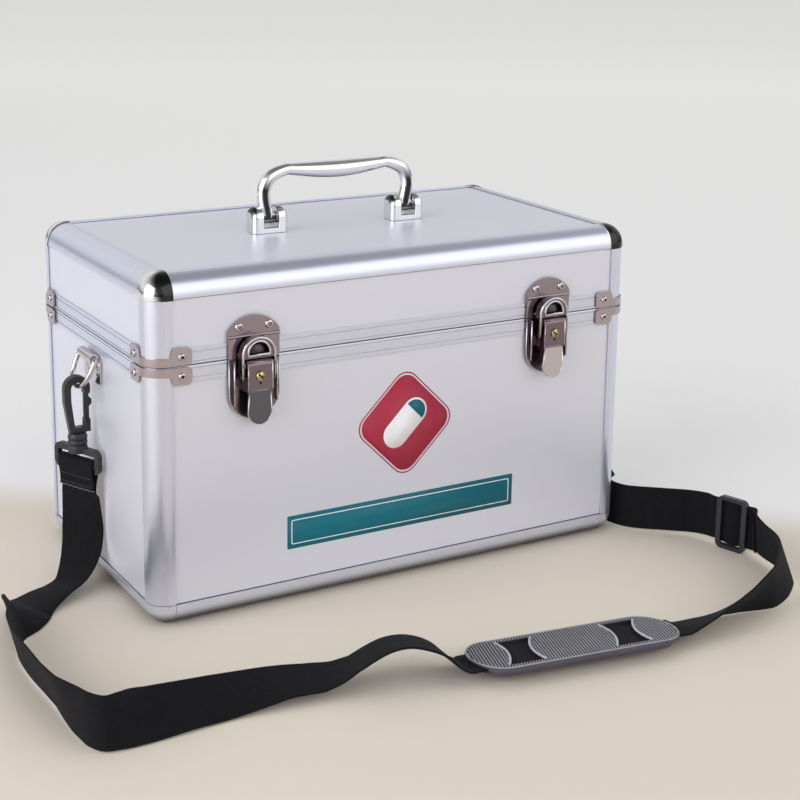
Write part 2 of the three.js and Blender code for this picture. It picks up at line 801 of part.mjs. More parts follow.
function handleBail() {
  const foot = handleSpacing / 2;
  const top = handlePivotZ + handleTopRise;
  const gripHalf = foot * gripHalfShare;
  const right = [
    [gripHalf, top - gripEndRadius],
    [foot - legBow, top - gripEndRadius * bendShare],
    [foot + legBow, (handlePivotZ + top) / 2],
    [foot, handlePivotZ],
  ];
  const left = right.map(([x, z]) => [-x, z]).reverse();
  const points = [...left, [0, top - gripMidRadius], ...right];
  const route = new THREE.CatmullRomCurve3(points.map(([x, z]) => new THREE.Vector3(x, 0, z)), false, 'centripetal');
  const steps = bailSteps;
  const rings = [];
  for (let step = 0; step <= steps; step += 1) {
    const t = step / steps;
    const place = route.getPoint(t);
    const tangent = route.getTangent(t);
    const grip = Math.max(0, 1 - Math.abs(place.x) / gripHalf);
    const belly = grip * grip * (3 - 2 * grip);
    const radius = gripEndRadius + (gripMidRadius - gripEndRadius) * belly;
    const onLeg = Math.abs(place.x) > gripHalf ? legRadius : radius;
    rings.push(ovalRing(place, tangent, radius, Math.max(radius, onLeg)));
  }
  const pieces = [loft(rings)];
  for (const side of [-1, 1]) {
    const x = side * foot;
    const barrel = bracketSlot / 2 - fitGap;
    const pin = bracketSlot / 2 + handlePinReach;
    pieces.push(rod('x', handleBarrelRadius, x - barrel, x + barrel, [0, handlePivotZ], fine));
    pieces.push(rod('x', handlePinRadius, x - pin, x + pin, [0, handlePivotZ]));
  }
  return union(pieces);
}

// Side rings, drawn round X 0 with the wall at X 0 and outwards along +X

function ringTab() {
  const low = sideRingHeight - tabPlateTall;
  const back = fitGap - boardFace;
  const front = back + tabPlateWall;
  const outline = roundedRect(-tabPlateHalf, tabPlateHalf, low, sideRingHeight, claspLeafRadius);
  const axis = [0, sideRingHeight];
  const tube = rod('y', tubeRadius, -tubeHalf, tubeHalf, [sideRingOut, sideRingHeight], fine);
  const bore = rod('y', ringWire + pinGap, -ringHalf, ringHalf, [sideRingOut, sideRingHeight]);
  const rivets = [-1, 1].map((side) => dome('x', 1,
    [front, side * tabPlateHalf * rivetSpreadShare, (low + sideRingHeight - tubeRadius) / 2],
    rivetRadius, rivetHeight / 2));
  const web = span(back, sideRingOut, -tubeHalf, tubeHalf, axis[1] - tubeRadius, axis[1]);
  return union([plateYZ(outline, back, front), web, tube, ...rivets]).subtract(bore);
}

// A closed wire ring in the YZ plane that hangs from its straight side
function wireRing() {
  const half = ringHalf;
  const wide = half - ringCorner;
  const points = [
    [-wide, 0],
    [0, 0],
    [wide, 0],
    [half * ringCornerShare, -ringCorner * ringCornerDropShare],
    [half, -ringCorner - ringWire],
    [half * ringShoulderShare, -ringDepth * ringShoulderDropShare],
    [0, -ringDepth],
    [-half * ringShoulderShare, -ringDepth * ringShoulderDropShare],
    [-half, -ringCorner - ringWire],
    [-half * ringCornerShare, -ringCorner * ringCornerDropShare],
  ];
  const route = new THREE.CatmullRomCurve3(points.map(([y, z]) => new THREE.Vector3(0, y, z)), true, 'centripetal');
  const wire = new THREE.TubeGeometry(route, wireSegments, ringWire, wireSides, true);
  return solid(wire);
}

// Snap hook, drawn round its upright swivel axis, with the case wall along +X

function hookFrame() {
  const half = hookThickness / 2;
  const outline = new THREE.Shape();
  const bow = hookBowHeight;
  outline.moveTo(-hookBowOuter * shankFootShare, hookFoot);
  outline.lineTo(-hookBowOuter, bow - hookBowOuter);
  outline.lineTo(-hookBowOuter, bow);
  outline.absarc(0, bow, hookBowOuter, Math.PI, 0, true);
  outline.lineTo(noseOuter, noseLow);
  outline.lineTo(noseInner, noseLow);
  outline.lineTo(hookBowInner, bow);
  outline.absarc(0, bow, hookBowInner, 0, Math.PI);
  outline.lineTo(-hookBowInner, bow - hookBowOuter);
  outline.lineTo(-hookBowInner * crotchShare, hookCrotch);
  outline.lineTo(noseOuter, hookCrotch);
  outline.lineTo(noseOuter, hookFoot);
  const cheeks = span(noseInner, noseOuter, -half, half, hookFoot, cheekTop);
  const slot = span(noseInner - overrun, noseOuter + overrun, -cheekInner, cheekInner,
    gatePivotHeight - gateHalfWide - gateGap, cheekTop + overrun);
  const pinBore = rod('y', gatePinRadius + pinGap, -half - overrun, half + overrun,
    [gatePivotIn, gatePivotHeight]);
  const stemLow = eyeSlotTop - stemHeadTall / 2;
  return union([plateXZ(outline, -half, half), cheeks.subtract(slot)])
    .subtract(pinBore)
    .add(rod('z', stemRadius, stemLow, hookFoot + stemRadius, [0, 0]))
    .add(rod('z', stemHeadRadius, stemLow, stemLow + stemHeadTall, [0, 0]));
}

function hookGate() {
  const top = noseLow - gateGap;
  const x = gatePivotIn;
  const outline = new THREE.Shape();
  outline.moveTo(x - gateHalfWide, gatePivotHeight);
  outline.absarc(x, gatePivotHeight, gateHalfWide, Math.PI, Math.PI * 2);
  outline.lineTo(x + gateHalfWide, thumbLow);
  outline.lineTo(x + gateHalfWide + thumbReach, thumbLow + thumbReach);
  outline.lineTo(x + gateHalfWide + thumbReach, thumbHigh - thumbReach);
  outline.lineTo(x + gateHalfWide, thumbHigh);
  outline.lineTo(x + gateHalfWide, top);
  outline.lineTo(x - gateHalfWide, top);
  const reach = hookThickness / 2 - pinGap / 2;
  return plateXZ(outline, -gateHalfThick, gateHalfThick)
    .add(rod('y', gatePinRadius, -reach, reach, [x, gatePivotHeight]));
}

function hookEye() {
  const half = eyeWide / 2;
  const inner = (strapWidth + 2 * slotAllowance) / 2;
  const thick = eyeThick / 2;
  const frame = plateXZ(roundedRect(-half, half, eyeLow, eyeTop, eyeCorner), -thick, thick);
  const upper = span(-inner, inner, -overrun, overrun, eyeBarTop, eyeSlotTop);
  const lower = span(-inner, inner, -overrun, overrun, eyeLow - overrun, eyeBarLow);
  const profile = [new THREE.Vector2(0, eyeSlotTop + stemHeadTall)];
  const base = eyeTop - eyeThick / 2;
  const step = (collarTop - base) / (collarRings * 2);
  profile.push(new THREE.Vector2(collarRadius, base - step));
  for (let turn = 0; turn < collarRings; turn += 1) {
    const z = base + turn * 2 * step;
    profile.push(new THREE.Vector2(collarRadius, z));
    profile.push(new THREE.Vector2(collarRadius, z + step));
    profile.push(new THREE.Vector2(collarRadius - collarGroove, z + step * 1.5));
  }
  profile.push(new THREE.Vector2(collarRadius - collarGroove, collarTop));
  profile.push(new THREE.Vector2(0, collarTop));
  const collar = new THREE.LatheGeometry(profile, fine);
  collar.rotateX(Math.PI / 2);
  return union([frame, solid(collar)])
    .subtract(upper)
    .subtract(lower)
    .subtract(rod('z', stemRadius + pinGap, eyeSlotTop - overrun, collarTop + overrun, [0, 0]))
    .subtract(rod('z', stemHeadRadius + pinGap, eyeSlotTop - overrun, eyeSlotTop + stemHeadTall, [0, 0]));
}

// Webbing strap

// A direction as a turn from +X and a lift from level, in degrees
function direction(turn, lift = 0) {
  const a = THREE.MathUtils.degToRad(turn);
  const b = THREE.MathUtils.degToRad(lift);
  return new THREE.Vector3(Math.cos(a) * Math.cos(b), Math.sin(a) * Math.cos(b), Math.sin(b));
}

// Hanging rows: out from the side wall, Y, share of the end height, then the turn and lift across the strap
const leftHang = [
  [12, 0, 1, 115, 0],
  [12, 0, 0.943, 115, 0],
  [11.2, -0.3, 0.73, 121, -2],
  [11, -1.9, 0.46, 130, -2],
];
const rightHang = [
  [31, -24, 0.216, 156, -18],
  [31, -12, 0.39, 141, -25],
  [25, -6, 0.595, 106, -22],
  [15.6, -2, 0.784, 75, -6],
  [12.2, -0.2, 0.88, 67, -1],
  [12, 0, 0.943, 65, 0],
  [12, 0, 1, 65, 0],
];

// Lying rows: out from the side wall, out from the front wall, height of the centre, turn and lift across
const leftLying = [
  [13.3, -97.2, 25, 127, -4],
  [18.3, -92.8, 15, 120, -9],
  [25.3, -88.2, 7.4, 112, -14],
  [34.7, -84.5, 4.6, 112, -12],
  [44.5, -80.2, 3.2, 118, -5],
  [53.5, -74, 2.8, 124, 0],
  [61, -65.5, 4.2, 130, 8],
  [65.5, -56, 7.4, 135, 20],
  [72, -45.2, 11, 143, 38],
  [80, -35, 14.8, 150, 60],
  [85, -23, 16.5, 158, 75],
  [88.5, -11, 17, 164, 80],
  [91.3, -1, 17.1, 167, 77],
  [93, 13, 17.1, 172, 75],
  [93.6, 28, 17.1, 178, 74],
  [93.2, 48, 17.2, 181, 73],
  [92.7, 69, 17.1, 183, 72],
  [92.2, 89.6, 17, 184, 78],
  [90.8, 99.8, 17.1, 182, 84],
  [88.8, 109.9, 17.2, 154, 89],
  [86.6, 120, 17.3, 20, 87],
  [81, 128.3, 17.3, 43, 83],
  [70.6, 127.7, 16.3, 74, 73],
  [60.8, 124.5, 14.5, 88, 59],
  [50.6, 121.7, 12.7, 93, 47],
  [29.6, 118.5, 10.9, 94, 35],
  [8.6, 116.4, 9.2, 91, 30],
  [-12.4, 116.3, 9, 87, 21],
  [-33.9, 118, 9.8, 84, 11],
  [-55.6, 120.5, 8.6, 81, 6],
  [-66.3, 123, 10, 80, -3],
  [-76.6, 125.6, 14.3, 77, -11],
  [-86.6, 127.1, 19.1, 76, -11],
  [-96.9, 128.9, 23, 75, -11],
  [-107.8, 131.6, 24.2, 74, -11],
  [-118.4, 135, 22, 75, -10],
  [-128, 139, 17.3, 77, -10],
  [-135, 143.3, 10.4, 80, -9],
];
const rightLying = [
  [-74.3, 167.6, 6.9, 84, -14],
  [-56.4, 167.8, 9, 86, -26],
  [-38.7, 167.7, 11.5, 85, -39],
  [-20.9, 167.2, 13.8, 83, -54],
  [-3.1, 166.4, 16.3, 66, -75],
  [5.5, 164.8, 17.2, 19, -82],
  [21.2, 155.8, 18.2, -35, -75],
  [35.1, 143.8, 19, -36, -70],
  [40.9, 136.2, 19.2, -33, -70],
  [44.8, 127.5, 19.2, -28, -71],
  [49.5, 109.4, 18.9, -25, -75],
  [54, 93.5, 19.5, -26, -82],
];
const besideLying = [
  [48.5, 45, 19.2, 200, -86],
  [45, 36.5, 18.6, 206, -85],
  [40.5, 29.5, 18, 212, -84],
  [34.5, 23, 17.6, 218, -83],
  [21.3, 11.6, 17.4, 225, -82],
  [13.5, 4.5, 17.3, 228, -83],
  [7.8, -2.5, 17.3, 234, -86],
  [5, -11, 17.3, 220, -86],
  [5, -19, 17.2, 193, -83],
  [8, -28, 16.6, 174, -74],
  [17, -44, 14.4, 158, -51],
  [26, -60.5, 13, 155, -28],
];

const padRise = padFloorWall + padTunnelTall / 2;
const padLean = THREE.MathUtils.degToRad(padTilt);
const padFarHalf = padWide / 2 - padBaseInset;
const padHeight = padRise * Math.cos(padLean) + padFarHalf * Math.sin(padLean) + padTableGap;
const padPlace = [padMiddle, -halfDepth - padForward, padHeight];
const sliderPlace = [halfLength + sliderOut, -halfDepth - sliderForward, sliderTall / 2];

// Rows that keep the strap straight through a piece
function straightRows([x, y, z], turn, reach, across) {
  const along = direction(turn);
  return [-reach - straightPast, -reach, 0, reach, reach + straightPast]
    .map((far) => [x + along.x * far, y + along.y * far, z, ...across]);
}

const hang = (side, rows) => rows.map(([out, y, share, ...across]) => (
  [side * (halfLength + out), y, share * strapEndHeight, ...across]));
const lie = (side, rows) => rows.map(([out, forward, height, ...across]) => (
  [side * (halfLength + out), -halfDepth - forward, height, ...across]));

const strapRoute = [
  ...hang(-1, leftHang),
  ...lie(-1, leftLying),
  ...straightRows(padPlace, padTurn, padLong / 2, [padTurn + quarterTurn, -padTilt]),
  ...lie(1, rightLying),
  ...straightRows(sliderPlace, sliderTurn, sliderLong / 2, [sliderTurn + quarterTurn, -quarterTurn]),
  ...lie(1, besideLying),
  ...hang(1, rightHang),
];

function strap() {
  const smooth = (points) => new THREE.CatmullRomCurve3(points, false, 'centripetal');
  const centres = smooth(strapRoute.map(([x, y, z]) => new THREE.Vector3(x, y, z)));
  const last = strapRoute.length - 1;
  const rings = [];
  for (let step = 0; step <= strapSteps; step += 1) {
    const t = step / strapSteps;
    const place = centres.getPoint(t);
    const tangent = centres.getTangent(t);
    const row = Math.min(Math.floor(t * last), last - 1);
    const part = t * last - row;
    const before = direction(strapRoute[row][3], strapRoute[row][4]);
    const after = direction(strapRoute[row + 1][3], strapRoute[row + 1][4]);
    const across = before.lerp(after, part);
    across.addScaledVector(tangent, -across.dot(tangent)).normalize();
    const face = new THREE.Vector3().crossVectors(tangent, across);
    const corner = (u, v) => place.clone()
      .addScaledVector(across, u * strapWidth / 2)
      .addScaledVector(face, v * strapThickness / 2);
    rings.push([corner(-1, -1), corner(1, -1), corner(1, 1), corner(-1, 1)]);
  }
  return loft(rings);
}

// Slider frame, drawn round its centre: X along the strap, Z across it
function slider() {
  const long = sliderLong / 2;
  const tall = sliderTall / 2;
  const thick = sliderThick / 2;
  const opening = (strapWidth + 2 * slotAllowance) / 2;
  const bar = sliderBar / 2;
  const end = long - sliderBar;
  return plateXZ(roundedRect(-long, long, -tall, tall, sliderCorner), -thick, thick)
    .subtract(span(bar, end, -overrun, overrun, -opening, opening))
    .subtract(span(-end, -bar, -overrun, overrun, -opening, opening));
}

// Shoulder pad, drawn round the strap's centre: X along the strap, Y across it

// One layer of the pad, a distance inside its outline
function padLayer(inset, low, high) {
  const middle = padLong / 2 - padEndLong;
  const long = padEndLong - inset;
  const wide = padWide / 2 - inset;
  const outline = new THREE.Shape();
  outline.moveTo(-middle, -wide);
  outline.absellipse(middle, 0, long, wide, -Math.PI / 2, Math.PI / 2);
  outline.absellipse(-middle, 0, long, wide, Math.PI / 2, Math.PI * 1.5);
  const depth = high - low;
  const layer = new THREE.ExtrudeGeometry(outline, { depth, bevelEnabled: false, curveSegments: medium });
  layer.translate(0, 0, low);
  return solid(layer);
}

function shoulderPad() {
  const high = padTunnelTall / 2 + padRoofWall;
  const low = -padTunnelTall / 2 - padFloorWall;
  const edge = high - padEdgeWall;
  const tunnelHalf = strapWidth / 2 + slotAllowance;
  let pad = padLayer(0, edge, high)
    .add(padLayer(padBaseInset, low, high - padRoofWall / 2))
    .subtract(span(-padLong, padLong, -tunnelHalf, tunnelHalf, -padTunnelTall / 2, padTunnelTall / 2));
  for (const side of [-1, 1]) {
    const from = side * padWindowPlace - padWindowLong / 2;
    pad = pad.subtract(span(from, from + padWindowLong, -padWindowWide / 2, padWindowWide / 2, 0, high + overrun));
  }
  return pad;
}

// Finishes

function finish(color, metalness, roughness) {
  return new THREE.MeshStandardMaterial({ color, metalness, roughness });
}

const silverBoard = finish('#cfcfd3', 0.35, 0.45);
const aluminium = finish('#dcdce2', 0.9, 0.35);
const chrome = finish('#e8e8ec', 1, 0.08);
const nickel = finish('#c9c4c6', 1, 0.18);
const brass = finish('#c9a24a', 1, 0.3);
const blackPlastic = finish('#1d1d20', 0, 0.45);
const webbing = finish('#19191b', 0, 0.85);
const rubber = finish('#3a3a3e', 0, 0.7);

const part = new THREE.Group();
part.position.set(0, frameShift, 0);

function add(name, manifold, material, parent = part) {
  const mesh = new THREE.Mesh(geometryOf(manifold), material);
  mesh.name = name;
  parent.add(mesh);
  return mesh;
}

function place(x, y, z, turn = 0) {
  const group = new THREE.Group();
  group.position.set(x, y, z);
  group.rotation.set(0, 0, THREE.MathUtils.degToRad(turn));
  part.add(group);
  return group;
}

// Boards, rails and posts

const bodyBoardTop = bodyRimHigh - rimWeb - fitGap;
const lidBoardLow = lidRimLow + rimWeb + fitGap;
const lidBoardTop = caseHeight - boardInset;
const ends = [[-1, 'left'], [1, 'right']];
const faces = [[-1, 'front'], [1, 'back']];

for (const [side, name] of faces) {
  add(`body_${name}_panel`, lengthBoard(side, boardInset, bodyBoardTop), silverBoard);
  add(`lid_${name}_panel`, lengthBoard(side, lidBoardLow, lidBoardTop), silverBoard);
}
for (const [side, name] of ends) {
  add(`body_${name}_panel`, depthBoard(side, boardInset, bodyBoardTop), silverBoard);
  add(`lid_${name}_panel`, depthBoard(side, lidBoardLow, lidBoardTop), silverBoard);
}
add('body_floor_panel', flatBoard(false), silverBoard);
add('lid_top_panel', flatBoard(true), silverBoard);

const frameTall = slotFloor + boardGrip;
for (const [sx, end] of ends) {
  for (const [sy, face] of faces) {
    const low = frameTall + fitGap;
    const high = caseHeight - frameTall - fitGap;
    add(`body_post_${face}_${end}`, cornerPost(sx, sy, low, bodyRimHigh), aluminium);
    add(`lid_post_${face}_${end}`, cornerPost(sx, sy, lidRimLow, high), aluminium);
    add(`lid_cap_${face}_${end}`, lidCap(sx, sy), chrome);
  }
}
add('body_bottom_frame', bottomFrame(), aluminium);
add('lid_top_frame', edgeFrame(true), aluminium);
add('body_rim', rimWithRearClasps(bodyRim(), -1), aluminium);
add('lid_rim', rimWithRearClasps(lidRim(), 1), aluminium);
for (const [sx, end] of ends) {
  add(`body_clasp_${end}`, clasp(sx, -1, -1), nickel);
  add(`lid_clasp_${end}`, clasp(sx, -1, 1), nickel);
}

// Hardware on the case

for (const [side, name] of ends) {
  const latch = place(side * latchX, -halfDepth, 0);
  add(`latch_base_${name}`, latchBase(), nickel, latch);
  add(`latch_lever_${name}`, latchLever(), nickel, latch);
  add(`latch_link_${name}`, latchLink(), nickel, latch);
  add(`key_plug_${name}`, keyPlug(), brass, latch);
  add(`latch_strike_${name}`, latchStrike(), nickel, latch);
  const hinge = place(side * hingeSpacing / 2, halfDepth, 0);
  add(`hinge_body_leaf_${name}`, hingeLeaf(-1), nickel, hinge);
  add(`hinge_lid_leaf_${name}`, hingeLeaf(1), nickel, hinge);
  add(`handle_bracket_${name}`, handleBracket(side), chrome);
}
add('handle_bail', handleBail(), chrome);

// Strap and what carries it

for (const [side, name] of ends) {
  const wall = place(side * halfLength, 0, 0, side < 0 ? 180 : 0);
  add(`ring_tab_${name}`, ringTab(), nickel, wall);
  const ringMesh = add(`side_ring_${name}`, wireRing(), nickel, wall);
  ringMesh.position.set(sideRingOut, 0, sideRingHeight);
  ringMesh.rotation.set(0, -THREE.MathUtils.degToRad(ringTilt), 0);
  const hook = place(side * (halfLength + hookAxisOut), 0, 0, side < 0 ? 0 : 180);
  add(`snap_hook_${name}`, hookFrame(), blackPlastic, hook);
  add(`hook_gate_${name}`, hookGate(), blackPlastic, hook);
  const eye = place(side * (halfLength + hookAxisOut), 0, 0, side * eyeTurn);
  add(`hook_eye_${name}`, hookEye(), blackPlastic, eye);
}
add('shoulder_strap', strap(), webbing);

const sliderOffset = strapThickness / 2 + sliderThick / 2 + fitGap;
const sliderSide = direction(sliderTurn + quarterTurn).multiplyScalar(sliderOffset);
const [sliderX, sliderY, sliderZ] = sliderPlace;
const sliderGroup = place(sliderX + sliderSide.x, sliderY + sliderSide.y, sliderZ, sliderTurn);
add('strap_slider', slider(), blackPlastic, sliderGroup);

const padGroup = place(...padPlace, padTurn);
const padMesh = add('shoulder_pad', shoulderPad(), rubber, padGroup);
padMesh.rotation.set(-THREE.MathUtils.degToRad(padTilt), 0, 0);

export default part;
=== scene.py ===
"""Looks of the metal-framed carry case with its strap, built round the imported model. Metres, +Z up."""
import json
from math import cos, dist, pi, radians, sin, sqrt

import bmesh
import bpy
import numpy as np
from mathutils import Matrix, Vector
from mathutils.geometry import tessellate_polygon

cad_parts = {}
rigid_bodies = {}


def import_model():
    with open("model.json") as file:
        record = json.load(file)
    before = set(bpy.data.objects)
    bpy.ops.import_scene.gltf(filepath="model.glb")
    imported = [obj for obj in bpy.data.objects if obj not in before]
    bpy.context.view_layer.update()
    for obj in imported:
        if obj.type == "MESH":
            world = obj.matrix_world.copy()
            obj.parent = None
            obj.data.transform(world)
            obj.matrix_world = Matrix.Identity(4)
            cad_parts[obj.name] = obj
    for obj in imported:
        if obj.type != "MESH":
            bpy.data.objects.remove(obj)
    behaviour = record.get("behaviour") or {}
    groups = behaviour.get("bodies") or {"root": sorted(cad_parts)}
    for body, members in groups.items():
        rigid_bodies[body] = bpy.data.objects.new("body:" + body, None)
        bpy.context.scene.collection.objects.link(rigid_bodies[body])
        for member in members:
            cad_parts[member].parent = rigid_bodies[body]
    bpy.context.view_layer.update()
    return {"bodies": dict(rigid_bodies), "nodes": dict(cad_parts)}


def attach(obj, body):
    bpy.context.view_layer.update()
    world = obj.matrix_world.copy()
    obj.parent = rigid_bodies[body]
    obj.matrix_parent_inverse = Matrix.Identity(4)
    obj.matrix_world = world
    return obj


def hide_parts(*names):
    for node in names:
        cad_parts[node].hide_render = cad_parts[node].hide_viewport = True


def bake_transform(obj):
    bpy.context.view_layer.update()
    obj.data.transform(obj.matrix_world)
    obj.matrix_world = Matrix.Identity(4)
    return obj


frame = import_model()

MM = 0.001

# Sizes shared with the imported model
CASE_LENGTH = 370 * MM
CASE_DEPTH = 204 * MM
CASE_HEIGHT = 233 * MM
CASE_SHIFT = 2.55 * MM
SPLIT = 174.5 * MM
BOARD_FACE = 1.2 * MM
POST_LEG = 15.5 * MM
TOP_LEG = 16 * MM
BOTTOM_LEG = 24 * MM
RIM_TALL = 11 * MM
RIM_INSET = 0.3 * MM
LATCH_X = 114 * MM
STRAP_WIDTH = 32 * MM
STRAP_WALL = 1.5 * MM
FRONT = CASE_SHIFT - CASE_DEPTH / 2
SIDES = {"left": -1, "right": 1}

# Camera, solved from the photograph
EYE = Vector((-549.1, -1025.95, 466.0)) * MM
EYE_RIGHT = Vector((0.8627, -0.50551, 0.0146))
EYE_DOWN = Vector((-0.10361, -0.20492, -0.97328))
EYE_FORWARD = Vector((0.495, 0.83813, -0.22916))
LENS_MM = 74.66
SENSOR_MM = 36
SHIFT_X = -0.0072
SHIFT_Y = -0.15
CLIP_NEAR = 10 * MM
CLIP_FAR = 50


def add_object(name, data):
    piece = bpy.data.objects.new(name, data)
    bpy.context.scene.collection.objects.link(piece)
    return piece


def make_camera():
    data = bpy.data.cameras.new("camera")
    data.lens = LENS_MM
    data.sensor_width = SENSOR_MM
    data.shift_x = SHIFT_X
    data.shift_y = SHIFT_Y
    data.clip_start = CLIP_NEAR
    data.clip_end = CLIP_FAR
    camera = add_object("camera", data)
    turn = Matrix((EYE_RIGHT, -EYE_DOWN, -EYE_FORWARD)).transposed()
    camera.matrix_world = Matrix.Translation(EYE) @ turn.to_4x4()
    bpy.context.scene.camera = camera


make_camera()

# Strap route: centre, then turn and lift of the direction across, in degrees, as in the part's source
STRAP_ROUTE = [
    (-0.197, 0.0025, 0.0832, 115, 0), (-0.197, 0.0025, 0.0785, 115, 0), (-0.1962, 0.0022, 0.0607, 121, -2),
    (-0.196, 0.0006, 0.0383, 130, -2), (-0.1983, -0.0022, 0.025, 127, -4),
    (-0.2033, -0.0067, 0.015, 120, -9), (-0.2103, -0.0112, 0.0074, 112, -14),
    (-0.2197, -0.0149, 0.0046, 112, -12), (-0.2295, -0.0192, 0.0032, 118, -5),
    (-0.2385, -0.0255, 0.0028, 124, 0), (-0.246, -0.034, 0.0042, 130, 8),
    (-0.2505, -0.0435, 0.0074, 135, 20), (-0.257, -0.0542, 0.011, 143, 38),
    (-0.265, -0.0645, 0.0148, 150, 60), (-0.27, -0.0765, 0.0165, 158, 75),
    (-0.2735, -0.0885, 0.017, 164, 80), (-0.2763, -0.0985, 0.0171, 167, 77),
    (-0.278, -0.1125, 0.0171, 172, 75), (-0.2786, -0.1275, 0.0171, 178, 74),
    (-0.2782, -0.1474, 0.0172, 181, 73), (-0.2777, -0.1684, 0.0171, 183, 72),
    (-0.2772, -0.189, 0.017, 184, 78), (-0.2758, -0.1993, 0.0171, 182, 84),
    (-0.2738, -0.2093, 0.0172, 154, 89), (-0.2716, -0.2194, 0.0173, 20, 87),
    (-0.266, -0.2278, 0.0173, 43, 83), (-0.2556, -0.2271, 0.0163, 74, 73),
    (-0.2458, -0.2239, 0.0145, 88, 59), (-0.2356, -0.2211, 0.0127, 93, 47),
    (-0.2146, -0.2179, 0.0109, 94, 35), (-0.1936, -0.2158, 0.0092, 91, 30),
    (-0.1726, -0.2157, 0.009, 87, 21), (-0.1511, -0.2174, 0.0098, 84, 11),
    (-0.1294, -0.2199, 0.0086, 81, 6), (-0.1187, -0.2224, 0.01, 80, -3), (-0.1084, -0.225, 0.0143, 77, -11),
    (-0.0984, -0.2265, 0.0191, 76, -11), (-0.0881, -0.2283, 0.023, 75, -11),
    (-0.0772, -0.231, 0.0242, 74, -11), (-0.0666, -0.2344, 0.022, 75, -10),
    (-0.057, -0.2384, 0.0173, 77, -10), (-0.05, -0.2427, 0.0104, 80, -9),
    (-0.0441, -0.2456, 0.0072, 82, -7.5), (-0.0391, -0.2463, 0.0072, 82, -7.5),
    (0.0312, -0.2561, 0.0072, 82, -7.5), (0.1015, -0.266, 0.0072, 82, -7.5),
    (0.1065, -0.2667, 0.0072, 82, -7.5), (0.1107, -0.2671, 0.0069, 84, -14),
    (0.1286, -0.2672, 0.009, 86, -26), (0.1463, -0.2671, 0.0115, 85, -39),
    (0.1641, -0.2666, 0.0138, 83, -54), (0.1819, -0.2658, 0.0163, 66, -75),
    (0.1905, -0.2642, 0.0172, 19, -82), (0.2062, -0.2552, 0.0182, -35, -75),
    (0.2201, -0.2432, 0.019, -36, -70), (0.2259, -0.2356, 0.0192, -33, -70),
    (0.2298, -0.2269, 0.0192, -28, -71), (0.2345, -0.2089, 0.0189, -25, -75),
    (0.239, -0.1929, 0.0195, -26, -82), (0.2428, -0.1863, 0.02, 196, -90),
    (0.2414, -0.1815, 0.02, 196, -90), (0.238, -0.1694, 0.02, 196, -90), (0.2346, -0.1574, 0.02, 196, -90),
    (0.2332, -0.1526, 0.02, 196, -90), (0.2335, -0.1444, 0.0192, 200, -86),
    (0.23, -0.1359, 0.0186, 206, -85), (0.2255, -0.1289, 0.018, 212, -84),
    (0.2195, -0.1225, 0.0176, 218, -83), (0.2063, -0.111, 0.0174, 225, -82),
    (0.1985, -0.104, 0.0173, 228, -83), (0.1928, -0.097, 0.0173, 234, -86),
    (0.19, -0.0885, 0.0173, 220, -86), (0.19, -0.0805, 0.0172, 193, -83),
    (0.193, -0.0714, 0.0166, 174, -74), (0.202, -0.0555, 0.0144, 158, -51),
    (0.211, -0.039, 0.013, 155, -28), (0.216, -0.0215, 0.018, 156, -18), (0.216, -0.0095, 0.0324, 141, -25),
    (0.21, -0.0035, 0.0495, 106, -22), (0.2006, 0.0005, 0.0652, 75, -6), (0.1972, 0.0023, 0.0732, 67, -1),
    (0.197, 0.0025, 0.0785, 65, 0), (0.197, 0.0025, 0.0832, 65, 0),
]


def direction(turn, lift=0.0):
    a = radians(turn)
    b = radians(lift)
    return np.array((cos(a) * cos(b), sin(a) * cos(b), sin(b)))


LEAST_STEP = 1e-6


def smooth_route(points, share):
    """The place at a share of a smooth curve through points, spaced by the root of their distance."""
    last = len(points) - 1
    where = share * last
    row = min(int(where), last - 1)
    part = where - row
    before = points[row - 1] if row > 0 else 2 * points[0] - points[1]
    after = points[row + 2] if row + 2 <= last else 2 * points[last] - points[last - 1]
    near, far = points[row], points[row + 1]
    steps = [max(float(np.linalg.norm(b - a)) ** 0.5, LEAST_STEP)
             for a, b in ((before, near), (near, far), (far, after))]
    first, middle, final = steps
    leave = (near - before) / first - (far - before) / (first + middle) + (far - near) / middle
    reach = (far - near) / middle - (after - near) / (middle + final) + (after - far) / final
    leave, reach = leave * middle, reach * middle
    bend = -3 * near + 3 * far - 2 * leave - reach
    twist = 2 * near - 2 * far + leave + reach
    return near + leave * part + bend * part ** 2 + twist * part ** 3


def smooth_line(points, count):
    return [smooth_route(points, share) for share in np.linspace(0, 1, count)]


def with_runs(points):
    """Each point of a line with the line's direction there."""
    last = len(points) - 1
    runs = [points[min(k + 1, last)] - points[max(k - 1, 0)] for k in range(last + 1)]
    return [(point, along / np.linalg.norm(along)) for point, along in zip(points, runs)]


ROUTE_STEP = 1.6 * MM
STEPS_PER_ROW = 24


def strap_stations():
    """Centre, run and across at even steps along the strap."""
    centres = [np.array(row[:3]) for row in STRAP_ROUTE]
    across_rows = [direction(row[3], row[4]) for row in STRAP_ROUTE]
    last = len(centres) - 1
    shares = np.linspace(0, 1, last * STEPS_PER_ROW + 1)
    places = np.array([smooth_route(centres, share) for share in shares])
    along = np.concatenate(([0], np.cumsum(np.linalg.norm(np.diff(places, axis=0), axis=1))))
    count = int(round(along[-1] / ROUTE_STEP)) + 1
    even = np.linspace(0, along[-1], count)
    place = np.stack([np.interp(even, along, places[:, k]) for k in range(3)], 1)
    share = np.interp(even, along, shares) * last
    run = np.gradient(place, axis=0)
    run /= np.linalg.norm(run, axis=1)[:, None]
    across = []
    for where, tangent in zip(share, run):
        row = min(int(where), last - 1)
        part = where - row
        mixed = across_rows[row] * (1 - part) + across_rows[row + 1] * part
        mixed = mixed - tangent * (mixed @ tangent)
        across.append(mixed / np.linalg.norm(mixed))
    return place, run, np.array(across), even


